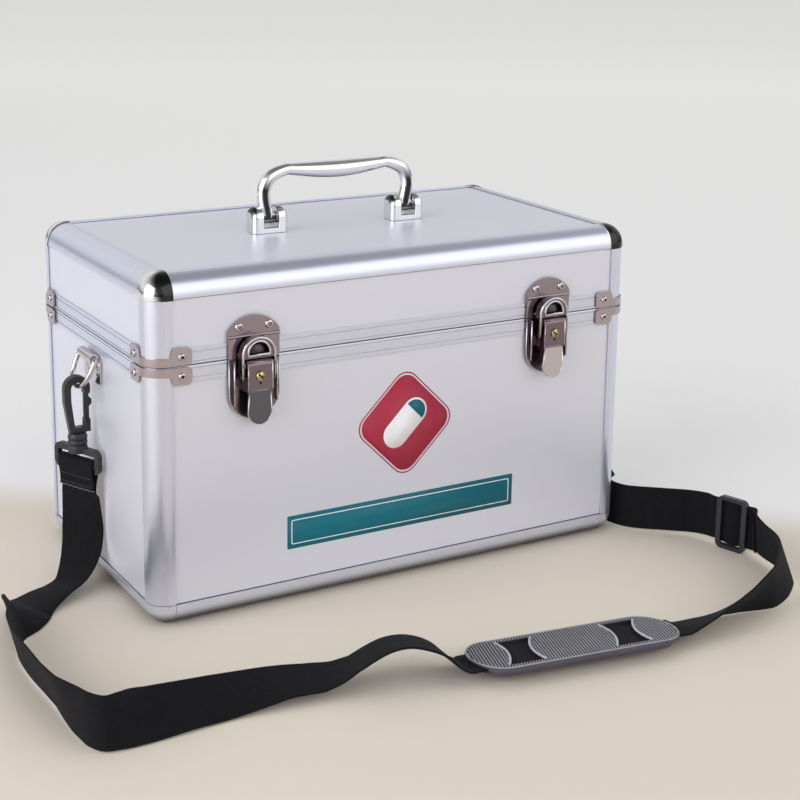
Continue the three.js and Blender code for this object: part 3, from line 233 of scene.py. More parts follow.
place, run, across, distance = strap_stations()
face = np.cross(run, across)

# Materials

MIX_A = 6
MIX_B = 7
MIX_RESULT = 2


def add_node(tree, kind, inputs, **settings):
    """A shader node whose inputs, by name or place, get a value or another node's output."""
    node = tree.nodes.new("ShaderNode" + kind)
    for key, value in settings.items():
        setattr(node, key, value)
    for key, value in inputs.items():
        set_input(tree, node.inputs[key], value)
    return node


def set_input(tree, socket, value):
    if isinstance(value, bpy.types.NodeSocket):
        tree.links.new(value, socket)
    else:
        socket.default_value = value


class Look:
    """A node material with one Principled shader, built up step by step."""

    def __init__(self, name, colour, metallic, roughness):
        self.material = bpy.data.materials.new(name)
        self.material.use_nodes = True
        self.tree = self.material.node_tree
        self.shader = self.tree.nodes["Principled BSDF"]
        self.colour = tone(*colour)
        self.coordinates = self.tree.nodes.new("ShaderNodeTexCoord")
        self.set("Base Color", (*self.colour, 1))
        self.set("Metallic", metallic)
        self.set("Roughness", roughness)

    def set(self, name, value):
        set_input(self.tree, self.shader.inputs[name], value)

    def mapped(self, stretch=(1, 1, 1), source="Object"):
        inputs = {"Scale": stretch, "Vector": self.coordinates.outputs[source]}
        return add_node(self.tree, "Mapping", inputs).outputs["Vector"]

    def noise(self, scale, detail, stretch=(1, 1, 1)):
        inputs = {"Scale": scale, "Detail": detail, "Vector": self.mapped(stretch)}
        return add_node(self.tree, "TexNoise", inputs).outputs["Fac"]

    def wave(self, scale, axis, distortion, source):
        inputs = {"Scale": scale, "Distortion": distortion, "Vector": self.mapped(source=source)}
        return add_node(self.tree, "TexWave", inputs, bands_direction=axis).outputs["Fac"]

    def ranged(self, value, low, high, start=0.0, end=1.0, kind="LINEAR"):
        inputs = {"Value": value, "From Min": start, "From Max": end, "To Min": low, "To Max": high}
        return add_node(self.tree, "MapRange", inputs, interpolation_type=kind).outputs["Result"]

    def paint(self, share, a, b, blend="MIX"):
        """Colour the shader by a mix of two colours, or of what it has and a colour."""
        node = add_node(self.tree, "Mix", {0: share, MIX_A: a, MIX_B: b}, data_type="RGBA", blend_type=blend)
        self.set("Base Color", node.outputs[MIX_RESULT])

    def facing(self, source, towards):
        """How far a normal or a place lies one way."""
        inputs = {0: self.coordinates.outputs[source], 1: towards}
        return add_node(self.tree, "VectorMath", inputs, operation="DOT_PRODUCT").outputs["Value"]

    def vary_roughness(self, value, low, high):
        self.set("Roughness", self.ranged(value, low, high))

    def vary_colour(self, value, dark, light):
        ends = [(*(min(1.0, part * share) for part in self.colour), 1) for share in (dark, light)]
        self.paint(value, *ends)

    def paint_shade_by_facing(self, towards, start, end, level, fade=None):
        """Paint shade on faces turned one way, as painted dark reflections of dim places and as painted shade
        under parts; fade is a span of heights.
        """
        full = self.ranged(self.facing("Object", (0, 0, 1)), 1.0, 0.0, *fade) if fade else 1.0
        facing = self.facing("Normal", Vector(towards).normalized())
        share = self.ranged(facing, 0.0, full, start, end, "SMOOTHSTEP")
        present = self.shader.inputs["Base Color"].links[0].from_socket
        self.paint(share, present, (level, level, level, 1), "MULTIPLY")

    def bump(self, value, depth, strength=1.0):
        inputs = {"Height": value, "Distance": depth, "Strength": strength}
        if self.shader.inputs["Normal"].links:
            inputs["Normal"] = self.shader.inputs["Normal"].links[0].from_socket
        self.set("Normal", add_node(self.tree, "Bump", inputs).outputs["Normal"])


def tone(*parts):
    """A colour given as it looks on screen, turned to the renderer's scale."""
    return tuple(part / 255 / 12.92 if part < 11 else ((part / 255 + 0.055) / 1.055) ** 2.4 for part in parts)


def surface(name, colour, metallic, gloss, shade, grain, painted_shades=(), stretch=(1, 1, 1)):
    """A look from three noises, each a scale, a detail and a range of roughness, of tone or a bump, then
    painted shade on faces turned given ways.
    """
    look = Look(name, colour, metallic, (gloss[2] + gloss[3]) / 2)
    look.vary_roughness(look.noise(*gloss[:2], stretch), *gloss[2:])
    look.vary_colour(look.noise(*shade[:2], stretch), *shade[2:])
    for painted_shade in painted_shades:
        look.paint_shade_by_facing(*painted_shade)
    look.bump(look.noise(*grain[:2], stretch), *grain[2:])
    return look


def rail_look(name, stretch):
    streaks = (1500, 3)
    # Painted light in the rail looks: the colour's blue tint offsets the warm floor the rails mirror, and
    # faces turned down get painted shade beneath the rails.
    return surface(name, (217, 221, 237), 0.85, (*streaks, 0.26, 0.3), (*streaks, 0.985, 1.015),
                   (*streaks, 0.002 * MM, 0.5), [((0, 0, -1), 0.2, 0.85, 0.1)], stretch).material


def bright_look(name, colour, low, high, grain, *painted_shades):
    return surface(name, colour, 1.0, (60, 5, low, high), (35, 4, 0.97, 1.01), (grain, 3, 0.001 * MM, 0.4),
                   painted_shades).material


def plastic_look(name, colour, low, high, depth):
    return surface(name, colour, 0.0, (120, 4, low, high), (40, 4, 0.85, 1.25), (3200, 3, depth)).material


def rubber_look(name, colour):
    return surface(name, colour, 0.0, (260, 4, 0.45, 0.66), (70, 5, 0.8, 1.2), (3600, 3, 0.03 * MM)).material


def ink_look(name, colour):
    look = surface(name, colour, 0.0, (300, 3, 0.36, 0.5), (120, 4, 0.96, 1.04), (2600, 2, 0.01 * MM))
    look.set("Specular IOR Level", 0.3)
    return look.material


def webbing_look():
    """Warp ribs are in the mesh; the weft, the sheen and the dust come from here."""
    look = Look("webbing_weave", (15, 14, 18), 0.0, 0.78)
    look.set("Specular IOR Level", 0.14)
    look.set("Sheen Weight", 0.03)
    look.set("Sheen Roughness", 0.5)
    look.vary_colour(look.noise(180, 5), 0.7, 1.45)
    look.vary_roughness(look.noise(400, 3), 0.68, 0.88)
    look.bump(look.wave(260, "Y", 0.6, "UV"), 0.12 * MM)
    look.bump(look.noise(5200, 2), 0.05 * MM)
    return look.material


def felt_look():
    look = Look("lining_felt", (118, 118, 122), 0.0, 0.95)
    look.set("Sheen Weight", 0.3)
    look.vary_colour(look.noise(500, 6), 0.7, 1.25)
    look.bump(look.noise(2400, 5), 0.25 * MM)
    return look.material


BOARD = surface("satin_board", (219, 221, 231), 0.4, (9, 3, 0.36, 0.4), (1800, 3, 0.985, 1.015),
                (1800, 3, 0.003 * MM, 0.6)).material
RAIL = rail_look("rail_level", (0.01, 1, 1))
POST = rail_look("rail_upright", (1, 1, 0.01))
# Painted dark reflection: faces turned up and to the left are darkened on the handle brackets.
CHROME = bright_look("bright_chrome", (238, 238, 240), 0.04, 0.1, 900,
                     ((-0.65, -0.15, 0.75), 0.62, 0.9, 0.08))
# Painted dark reflection: faces turned to the right, the front and up are darkened on the corner caps.
CAP_CHROME = bright_look("cap_chrome", (238, 238, 240), 0.04, 0.1, 900,
                         ((0.45, -0.75, 0.45), 0.28, 0.6, 0.05))
# Painted dark reflection on the fronts of the handle's legs, full below 262 mm and gone by 272 mm, and
# painted shade on faces turned down.
BAIL_CHROME = bright_look("handle_chrome", (240, 240, 242), 0.04, 0.1, 900,
                          ((-0.12, -0.99, 0.05), 0.82, 0.97, 0.05, (262 * MM, 272 * MM)),
                          ((0, 0, -1), 0.55, 0.9, 0.2))
# Lit and shaded copies of one nickel: the clasp, latch and strike looks are darker copies of this bright one,
# their darker colours painted dark reflection.
NICKEL = bright_look("bright_nickel", (206, 200, 204), 0.07, 0.15, 1800)
CLASP_NICKEL = bright_look("clasp_nickel", (184, 174, 179), 0.1, 0.18, 1800)
SHADED_NICKEL = bright_look("shaded_nickel", (128, 114, 122), 0.14, 0.24, 1800)
STRIKE_NICKEL = bright_look("strike_nickel", (158, 146, 154), 0.12, 0.2, 1800)
BRASS = bright_look("brass_plug", (206, 190, 132), 0.16, 0.28, 1500)
# Painted shade: the dark plate behind each latch link's window.
WINDOW_SHADE = bright_look("link_window_shade", (74, 69, 74), 0.2, 0.32, 1500)
# Painted shade: the duller dark grey given to the left lever's tab.
TAB_SHADE = bright_look("tab_shade", (104, 104, 108), 0.34, 0.46, 1500)
MOULDED = plastic_look("moulded_black", (34, 34, 38), 0.32, 0.46, 0.03 * MM)
GLOSSY = plastic_look("glossy_black", (40, 39, 46), 0.12, 0.2, 0.01 * MM)
THREAD = plastic_look("stitch_thread", (52, 52, 56), 0.5, 0.7, 0.05 * MM)
WEBBING = webbing_look()
FELT = felt_look()
# The pad is one rubber in four tones: the top between the ribs darkest, partly its own dark colour and partly
# painted shade; the ribs and ridges pale as painted highlights.
RUBBER = rubber_look("pad_rubber", (25, 24, 28))
RUBBER_SIDE = rubber_look("pad_side_rubber", (72, 67, 79))
RUBBER_HIGHLIGHT = rubber_look("pad_rib_highlight", (150, 150, 154))
RIDGE_HIGHLIGHT = rubber_look("pad_ridge_highlight", (190, 190, 196))
SEALED = rubber_look("sealed_edge", (96, 96, 102))
# Painted shade: the dark strips in the seams between boards and rails.
SEAM_SHADE = rubber_look("seam_shadow", (70, 70, 76))
# Painted shade: the dark in rivet dimples and in the key slot.
PIT_SHADE = rubber_look("pit_shade", (26, 24, 28))
TEAL = ink_look("teal_ink", (6, 104, 118))
RED = ink_look("red_ink", (172, 44, 68))
WHITE = ink_look("white_ink", (240, 240, 242))

# Mesh helpers

JOIN_DISTANCE = 0.01 * MM
FLAT_ANGLE = 0.6


def cleaned(mesh, join=False, flat=False, outward=False):
    """Join points that coincide, join the triangles of flat faces, or turn the faces outward."""
    work = bmesh.new()
    work.from_mesh(mesh)
    if join:
        bmesh.ops.remove_doubles(work, verts=work.verts, dist=JOIN_DISTANCE)
    if flat:
        bmesh.ops.dissolve_limit(work, angle_limit=radians(FLAT_ANGLE), verts=work.verts, edges=work.edges)
    if outward:
        bmesh.ops.recalc_face_normals(work, faces=work.faces)
    work.to_mesh(mesh)
    work.free()
    return mesh


def smooth_faces(mesh):
    mesh.polygons.foreach_set("use_smooth", [True] * len(mesh.polygons))


def new_piece(name, vertices, faces, material):
    mesh = bpy.data.meshes.new(name)
    mesh.from_pydata([tuple(map(float, vertex)) for vertex in vertices], [], faces)
    mesh.materials.append(material)
    smooth_faces(cleaned(mesh, outward=True))
    return add_object(name, mesh)


def add_modifier(piece, kind, name, **values):
    modifier = piece.modifiers.new(name, kind)
    for key, value in values.items():
        setattr(modifier, key, value)
    return modifier


# Rounded edges: their width, the steps across, and the least angle between faces in degrees
RAIL_EDGES = (0.12 * MM, 2, 32)
POST_EDGES = (0.15 * MM, 2, 32)
RIM_EDGES = (0.1 * MM, 2, 32)
CAP_EDGES = (0.25 * MM, 3, 60)
CLASP_EDGES = (0.22 * MM, 3, 40)
BRACKET_EDGES = (0.2 * MM, 2, 50)
BAIL_EDGES = (0.3 * MM, 2, 60)
LINING_EDGES = (0.4 * MM, 2, 50)
PAD_EDGES = (0.55 * MM, 3, 50)
SLIDER_EDGES = (0.75 * MM, 3, 38)
SHADING_WEIGHT = 60


def soften(piece, bevel, segments=3, angle=38):
    """Round the edges sharper than an angle, and shade the faces by their size."""
    add_modifier(piece, "BEVEL", "edges", width=bevel, segments=segments, limit_method="ANGLE",
                 angle_limit=radians(angle), harden_normals=False, use_clamp_overlap=True)
    add_modifier(piece, "WEIGHTED_NORMAL", "shading", keep_sharp=True, weight=SHADING_WEIGHT)


def settle(piece, body, slot, *nodes):
    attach(piece, body)
    if nodes:
        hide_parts(*nodes)
    return piece


def node_copy(node):
    """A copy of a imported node's mesh with its triangles joined to flat faces."""
    mesh = frame["nodes"][node].data.copy()
    mesh.name = f"{node}_finish"
    smooth_faces(cleaned(mesh, join=True, flat=True))
    return add_object(mesh.name, mesh)


def polished(node, material, slot, bevel, segments=3, angle=38):
    """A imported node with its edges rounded, in one material, on the body that carries it."""
    piece = node_copy(node)
    piece.data.materials.clear()
    piece.data.materials.append(material)
    soften(piece, bevel, segments, angle)
    return settle(piece, node_body(node), slot, node)


def node_body(node):
    for body, empty in frame["bodies"].items():
        if frame["nodes"][node].parent == empty:
            return body
    raise ValueError(node)


def paint_faces(piece, material, chosen):
    """Give the faces whose centre and normal are chosen another material."""
    piece.data.materials.append(material)
    index = len(piece.data.materials) - 1
    for face in piece.data.polygons:
        if chosen(face.center, face.normal):
            face.material_index = index


def circle(middle, up, aside, radius, sides):
    turns = (2 * pi * k / sides for k in range(sides))
    return [middle + (up * cos(a) + aside * sin(a)) * radius for a in turns]


def ring_faces(rows, sides, base=0, closed=False):
    """Faces between rows of points that each go round, with flat ends where the rows are open."""
    faces = []
    for row in range(rows if closed else rows - 1):
        here = base + row * sides
        there = base + (row + 1) % rows * sides
        for k in range(sides):
            other = (k + 1) % sides
            faces.append((here + k, here + other, there + other, there + k))
    if not closed:
        faces += [tuple(base + row * sides + k for k in range(sides)) for row in (0, rows - 1)]
    return faces


def many_rings(name, groups, material, closed=False):
    vertices = []
    faces = []
    for rings in groups:
        faces += ring_faces(len(rings), len(rings[0]), len(vertices), closed)
        vertices += [point for ring in rings for point in ring]
    return new_piece(name, vertices, faces, material)


def tube(name, points, radius, sides, material, closed=False):
    """A round bar along points, with flat ends where it is open."""
    count = len(points)
    points = [Vector(point) for point in points]
    rings = []
    up = None
    for k, point in enumerate(points):
        before = points[(k - 1) % count] if closed or k else points[0]
        after = points[(k + 1) % count] if closed or k + 1 < count else points[-1]
        along = (after - before).normalized()
        if up is None:
            up = Vector((0, 0, 1)) if abs(along.z) < 0.9 else Vector((0, 1, 0))
        up = (up - along * up.dot(along)).normalized()
        rings.append(circle(point, up, along.cross(up), radius, sides))
    return many_rings(name, [rings], material, closed)


def plate(name, outline, holes, low, high, material, matrix=None):
    """A flat outline with holes, in X and Y, given a thickness along Z and moved by a matrix."""
    loops = [outline, *holes]
    flat = [[Vector((x, y, 0)) for x, y in loop] for loop in loops]
    triangles = tessellate_polygon(flat)
    points = [point for loop in flat for point in loop]
    count = len(points)
    vertices = [(p.x, p.y, low) for p in points] + [(p.x, p.y, high) for p in points]
    faces = [tuple(tri) for tri in triangles]
    faces += [tuple(k + count for k in tri) for tri in triangles]
    start = 0
    for loop in loops:
        for k in range(len(loop)):
            a = start + k
            b = start + (k + 1) % len(loop)
            faces.append((a, b, b + count, a + count))
        start += len(loop)
    if matrix is not None:
        vertices = [matrix @ Vector(vertex) for vertex in vertices]
    piece = new_piece(name, vertices, faces, material)
    cleaned(piece.data, flat=True)
    return piece


def arc(centre, radius, start, end, steps):
    """Points round a circle or an ellipse, between two angles in degrees."""
    wide, tall = radius if isinstance(radius, tuple) else (radius, radius)
    angles = [radians(start + (end - start) * k / steps) for k in range(steps + 1)]
    return [(centre[0] + wide * cos(a), centre[1] + tall * sin(a)) for a in angles]


def capsule(long, radius, turn, x, y, steps=24):
    """A long shape with half round ends, turned by an angle about its centre."""
    half = long / 2 - radius
    points = arc((half, 0), radius, -90, 90, steps) + arc((-half, 0), radius, 90, 270, steps)
    c, s = cos(radians(turn)), sin(radians(turn))
    return [(x + a * c - b * s, y + a * s + b * c) for a, b in points]


def rounded(xa, xb, ya, yb, radius, steps=8):
    corners = ((xb - radius, yb - radius, 0), (xa + radius, yb - radius, 90),
               (xa + radius, ya + radius, 180), (xb - radius, ya + radius, 270))
    return [point for x, y, turn in corners for point in arc((x, y), radius, turn, turn + 90, steps)]


def joined(name, pieces):
    """Several pieces made into one, with their materials kept."""
    first = pieces[0]
    with bpy.context.temp_override(active_object=first, object=first, selected_objects=pieces,
                                   selected_editable_objects=pieces):
        bpy.ops.object.join()
    first.name = name
    first.data.name = name
    return first


def upright(x=0.0, y=0.0, z=0.0):
    """A matrix that stands a plate drawn in X and Y up in the XZ plane, its thickness towards the front."""
    return Matrix.Translation((x, y, z)) @ Matrix.Rotation(radians(90), 4, "X")


# Shoulder strap: one ribbed band with its sewn ends, cut in three where it starts to swing with the hooks;
# the two end pieces are put on no body, so they do not swing with them

RIBS = 12
RIB_STEPS = 4
RIB_DEPTH = 0.16 * MM
EDGE_ROUND = 0.35 * MM
HOOK_X = 197 * MM
RIB_POWER = 0.7
PLY_GAP = 1.62 * MM

# Sewn end: out from the hanging strap on its outer side, and height
LOOP_ROWS = [
    (-1.62, 68), (-1.62, 70), (-1.65, 73.5), (-2.05, 77), (-2.6, 80.5), (-2.95, 83.5), (-2.95, 86.6),
    (-2.6, 87.9), (-1.6, 88.75), (0, 89.1), (1.6, 88.75), (2.6, 87.9), (2.95, 86.6), (2.95, 83.5),
    (2.55, 80.5), (1.65, 77), (0.75, 73.5), (0.2, 70), (0, 66),
]
LOOP_STEPS = 6
MERGE_HEIGHT = 64 * MM
SWING_PART = 205 * MM
SWING_END = {"left": 12 * MM, "right": 20 * MM}


def band(name, stations):
    """A ribbed strip of webbing along stations of centre, run and across, its map in metres."""
    half = STRAP_WIDTH / 2
    steps = RIBS * RIB_STEPS
    columns = []
    for step in range(steps + 1):
        share = step / steps
        u = (share - 0.5) * 2 * half
        rib = abs(sin(pi * share * RIBS)) ** RIB_POWER * RIB_DEPTH
        edge = min(share, 1 - share) * 2 * half
        thin = EDGE_ROUND * (1 - min(1.0, edge / (2 * EDGE_ROUND))) ** 2
        columns.append((u, STRAP_WALL / 2 - RIB_DEPTH + rib - thin))
    section = [(u, high) for u, high in columns] + [(u, -high) for u, high in reversed(columns)]
    count = len(section)
    vertices = []
    for centre, along, side in stations:
        normal = np.cross(along, side)
        vertices += [centre + side * u + normal * v for u, v in section]
    piece = new_piece(name, vertices, ring_faces(len(stations), count), WEBBING)
    lengths = [0.0]
    for a, b in zip(stations, stations[1:]):
        lengths.append(lengths[-1] + float(np.linalg.norm(b[0] - a[0])))
    layer = piece.data.uv_layers.new(name="weave")
    for loop in piece.data.loops:
        row, k = divmod(loop.vertex_index, count)
        layer.data[loop.index].uv = (section[k][0], lengths[row])
    return piece


def sewn_spot(side, height):
    return np.array((side * HOOK_X, CASE_SHIFT, height * MM))


def loop_stations(side, across_way, outward):
    """Stations of a sewn end, from its cut edge round the eye's bar to the hanging strap."""
    points = [sewn_spot(side, z) + outward * (n * MM) for n, z in LOOP_ROWS]
    line = smooth_line(points, len(points) * LOOP_STEPS)
    return [(point, along, across_way) for point, along in with_runs(line)]


def strap_part(first, last):
    return [(place[k], run[k], across[k]) for k in range(first, last + 1)]


def first_below(height, order):
    for k in order:
        if place[k][2] < height:
            return k
    raise ValueError(height)


last_station = len(place) - 1
left_start = first_below(MERGE_HEIGHT, range(last_station + 1))
left_cut = int(np.searchsorted(distance, SWING_PART))
right_start = first_below(MERGE_HEIGHT, range(last_station, -1, -1))
right_cut = int(np.searchsorted(distance, distance[-1] - SWING_PART))

left_rows = loop_stations(-1, across[0], face[0]) + strap_part(left_start, left_cut)
strap_rows = strap_part(left_cut, right_cut)
left_end = band("strap_end_left", left_rows)
strap = band("strap_webbing", strap_rows)
right_tail = [(centre, -along, -side) for centre, along, side in reversed(strap_part(right_cut, right_start))]
right_rows = loop_stations(1, -across[-1], face[-1]) + right_tail
right_end = band("strap_end_right", right_rows)

for piece, name, order in ((left_end, "left", range(last_station + 1)),
                           (right_end, "right", range(last_station, -1, -1))):
    end = place[first_below(SWING_END[name], order)]
    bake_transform(piece)
settle(strap, "case", "webbing", "shoulder_strap")

# Stitches on the sewn ends, and the sealed cut edges
STITCH_LONG = 2.3 * MM
STITCH_THICK = 0.32 * MM
STITCH_PITCH = 3.2 * MM
STITCH_ROWS = (70.4, 76.4)
STITCH_COUNT = 9
STITCH_PLY = 6
STITCH_ENDS = ((-1.0, 0.35), (-0.8, 0.9), (0.0, 1.0), (0.8, 0.9), (1.0, 0.35))
EDGE_STEPS = 24
EDGE_WAVES = ((0.35, 1.7), (0.2, 3.1))
EDGE_OUT = 0.25 * MM
EDGE_THICK = 0.55 * MM


def capsule_rings(centre, along, radius, half, sides=6):
    along = Vector(along).normalized()
    up = along.orthogonal().normalized()
    return [circle(Vector(centre) + along * half * offset, up, along.cross(up), radius * size, sides)
            for offset, size in STITCH_ENDS]


def stitches(name, side, across_way, outward):
    """Two rows of stitches on the outer side of a sewn end."""
    outs = [out for out, height in LOOP_ROWS[:STITCH_PLY]]
    heights = [height for out, height in LOOP_ROWS[:STITCH_PLY]]
    groups = []
    for height in STITCH_ROWS:
        out = outward * (np.interp(height, heights, outs) * MM - STRAP_WALL / 2)
        for k in range(STITCH_COUNT):
            u = (k - (STITCH_COUNT - 1) / 2) * STITCH_PITCH
            centre = sewn_spot(side, height) + out + across_way * u
            groups.append(capsule_rings(centre, across_way, STITCH_THICK, STITCH_LONG / 2))
    return many_rings(name, groups, THREAD)


def cut_edge(name, side, across_way, outward):
    """The sealed end of the sewn ply, a little uneven and paler than the webbing."""
    points = []
    for k in range(EDGE_STEPS + 1):
        u = (k / EDGE_STEPS - 0.5) * STRAP_WIDTH
        wave = sum(tall * sin(k * pace) for tall, pace in EDGE_WAVES)
        spot = sewn_spot(side, LOOP_ROWS[0][1] + wave)
        points.append(spot - outward * (PLY_GAP + EDGE_OUT) + across_way * u)
    return tube(name, points, EDGE_THICK, 8, SEALED)


for name, side, across_way, outward in (("left", -1, across[0], face[0]), ("right", 1, across[-1], face[-1])):
    ends = [stitches(f"stitches_{name}", side, across_way, outward),
            cut_edge(f"cut_edge_{name}", side, across_way, outward)]
    [settle(piece, f"hanger_{name}", "webbing") for piece in ends]


# Shoulder pad, drawn round the strap's centre: X along the strap, Y across it

PAD_PLACE = Vector((31.2, -258.7, 7.204)) * MM + Vector((0, CASE_SHIFT, 0))
PAD_TURN = -8
PAD_TILT = 7.5
PAD_HALF = 71
PAD_WIDE = 26
PAD_END = 18
PAD_TOP = 2.7
PAD_EDGE_LOW = -0.3
PAD_LOW = -4.3
PAD_BASE_TOP = 1.9
PAD_BASE_INSET = 5
TUNNEL_HALF = 17
TUNNEL_TALL = 1.1
WINDOW_X = 37
WINDOW_HALF = 12
WINDOW_WIDE = 20
WINDOW_BULGE = 4.2
RIB_PITCH = 2.0
RIB_WIDE = 0.43
PAD_SKEW = 0.217
RIB_TALL = 0.62
RAIL_MARGIN = 1.7
RIB_MARGIN = 0.8
RIB_LEAST = 1.2
RIB_SIDES = 12
RIB_ENDS = ((0, 0.3), (0.25, 0.8), (0.7, 1))
RIB_CLEAR = 0.4
RAIL_CLEAR = 0.7
RIB_STUB = 0.3
SPAN_LEAST = 10
RIM_INSET_PAD = 0.75
RIM_SUNK = 0.1
RIM_THICK = 0.62 * MM
RIDGE_RISE = 0.15
RIDGE_THICK = 0.75 * MM

pad_matrix = (Matrix.Translation(PAD_PLACE) @ Matrix.Rotation(radians(PAD_TURN), 4, "Z")
              @ Matrix.Rotation(radians(-PAD_TILT), 4, "X") @ Matrix.Scale(MM, 4))


def pad_outline(inset, steps=28):
    middle = PAD_HALF - PAD_END
    radius = (PAD_END - inset, PAD_WIDE - inset)
    return arc((middle, 0), radius, -90, 90, steps) + arc((-middle, 0), radius, 90, 270, steps)


def window_arc(centre, end, steps=20):
    """The curved end of a window, which bulges into it; end is -1 or 1 along X."""
    rows = []
    for k in range(steps + 1):
        y = (1 - 2 * k / steps) * WINDOW_WIDE
        bulge = WINDOW_BULGE * (1 - (y / WINDOW_WIDE) ** 2)
        rows.append((centre + end * (WINDOW_HALF - bulge) + PAD_SKEW * y, y))
    return rows


def window_outline(centre):
    return window_arc(centre, 1) + list(reversed(window_arc(centre, -1)))


def box_outline(xa, xb, ya, yb):
    return [(xa, ya), (xb, ya), (xb, yb), (xa, yb)]


def carved(piece, added, cut):
    """Join the added pieces to the first and take the cut ones away."""
    for kind, tools in (("UNION", added), ("DIFFERENCE", cut)):
        for tool in tools:
            add_modifier(piece, "BOOLEAN", "carve", operation=kind, object=tool, solver="EXACT")
    solved = bpy.data.meshes.new_from_object(piece.evaluated_get(bpy.context.evaluated_depsgraph_get()))
    piece.modifiers.clear()
    piece.data = solved
    solved.name = piece.name
    for tool in (*added, *cut):
        bpy.data.objects.remove(tool)
    smooth_faces(solved)
    return piece


def pad_mat():
    mat = plate("pad_mat", pad_outline(0), [], PAD_EDGE_LOW, PAD_TOP, RUBBER_SIDE)
    base = plate("base", pad_outline(PAD_BASE_INSET), [], PAD_LOW, PAD_BASE_TOP, RUBBER_SIDE)
    tunnel = plate("tunnel", box_outline(-2 * PAD_HALF, 2 * PAD_HALF, -TUNNEL_HALF, TUNNEL_HALF), [],
                   -TUNNEL_TALL, TUNNEL_TALL, RUBBER_SIDE)
    windows = [plate("window", window_outline(side * WINDOW_X), [], 0, 2 * PAD_TOP, RUBBER_SIDE)
               for side in (-1, 1)]
    mat = carved(mat, [base], [tunnel, *windows])
    reach = WINDOW_HALF + PAD_SKEW * WINDOW_WIDE + 1

    # Painted shade: the top faces and the windows' walls take the darkest rubber.
    def dark(centre, normal):
        in_window = abs(centre.y) < WINDOW_WIDE + 0.5 and abs(abs(centre.x) - WINDOW_X) < reach
        return normal.z > 0.5 or centre.z > 0 and in_window

    paint_faces(mat, RUBBER, dark)
    mat.data.transform(pad_matrix)
    soften(mat, *PAD_EDGES)
    return mat


def on_pad(x, y, z):
    return pad_matrix @ Vector((x, y, z))


def half_width(x, margin):
    """Half the pad's width at a place along it, inside a margin; negative past the end."""
    past = abs(x) - (PAD_HALF - PAD_END)
    if past <= 0:
        return PAD_WIDE - margin
    share = past / (PAD_END - margin)
    return (PAD_WIDE - margin) * sqrt(1 - share ** 2) if share < 1 else -1


def rib_spans(x):
    """Stretches across the pad that a slanting rib covers, for its place along the middle line."""
    tries = [k / 4 for k in range(-4 * PAD_WIDE, 4 * PAD_WIDE + 1)]
    inside = [y for y in tries if abs(y) <= half_width(x + PAD_SKEW * y, RAIL_MARGIN)]
    if len(inside) < SPAN_LEAST:
        return []
    low, high = inside[0], inside[-1]
    for centre in (-WINDOW_X, WINDOW_X):
        into = WINDOW_HALF - abs(x - centre)
        if into > -RIB_CLEAR:
            rails = [(WINDOW_WIDE + RAIL_CLEAR, high), (low, -WINDOW_WIDE - RAIL_CLEAR)]
            inside = WINDOW_BULGE - into - RIB_MARGIN
            if inside > RIB_STUB:
                reach = WINDOW_WIDE * sqrt(min(1.0, inside / WINDOW_BULGE))
                rails.append((-reach, reach))
            return rails
    return [(low, high)]


def pad_ribs():
    groups = []
    count = int((PAD_HALF + PAD_SKEW * PAD_WIDE) / RIB_PITCH)
    for k in range(-count, count + 1):
        x = k * RIB_PITCH
        for low, high in rib_spans(x):
            if high - low < RIB_LEAST:
                continue
            ends = [(low + inset, size) for inset, size in RIB_ENDS]
            ends += [(high - inset, size) for inset, size in reversed(RIB_ENDS)]
            groups.append([circle(Vector((x + PAD_SKEW * y, y, PAD_TOP)), Vector((RIB_WIDE, 0, 0)),
                                  Vector((0, 0, RIB_TALL)), size, RIB_SIDES) for y, size in ends])
            groups[-1] = [[pad_matrix @ point for point in ring] for ring in groups[-1]]
    # Painted highlight: the ribs are a pale grey rubber.
    return many_rings("pad_ribs", groups, RUBBER_HIGHLIGHT)


def pad_rims():
    pieces = []
    # Painted highlight: the border ridge and the window ridges are pale rubber.
    border = [on_pad(x, y, PAD_TOP - RIM_SUNK) for x, y in pad_outline(RIM_INSET_PAD)]
    pieces.append(tube("rim", border, RIM_THICK, 10, RUBBER_HIGHLIGHT, closed=True))
    for centre in (-WINDOW_X, WINDOW_X):
        for end in (-1, 1):
            ridge = [on_pad(x + end * 0.5, y, PAD_TOP + RIDGE_RISE) for x, y in window_arc(centre, end)]
            pieces.append(tube("rim", ridge, RIDGE_THICK, 10, RIDGE_HIGHLIGHT))
    return joined("pad_rims", pieces)


pad = settle(pad_mat(), "pad", "rubber", "shoulder_pad")
pad_top_ribs = settle(pad_ribs(), "pad", "rubber")
pad_top_rims = settle(pad_rims(), "pad", "rubber")

# Slider, drawn round its centre: X along the strap, Y out from it, Z across it

SLIDER_PLACE = Vector((238, -172, 20)) * MM + Vector((0, CASE_SHIFT, 0))
SLIDER_TURN = 106
SLIDER_OFFSET = 3.1
SLIDER_LONG = 12.5
SLIDER_TALL = 20
SLIDER_THICK = 2
SLIDER_SLOT = 17
SLIDER_END = 8.5
SLIDER_CORNER = 5
SLIDER_REACH = 20
SLIDER_BACK = 9
BAR_HALF = 2
BAR_LOW = 0.4
BAR_SUNK = 0.05

slider_turn = Matrix.Rotation(radians(SLIDER_TURN), 4, "Z")
slider_matrix = (Matrix.Translation(SLIDER_PLACE) @ slider_turn @ Matrix.Scale(MM, 4)
                 @ Matrix.Translation((0, SLIDER_OFFSET, 0)))


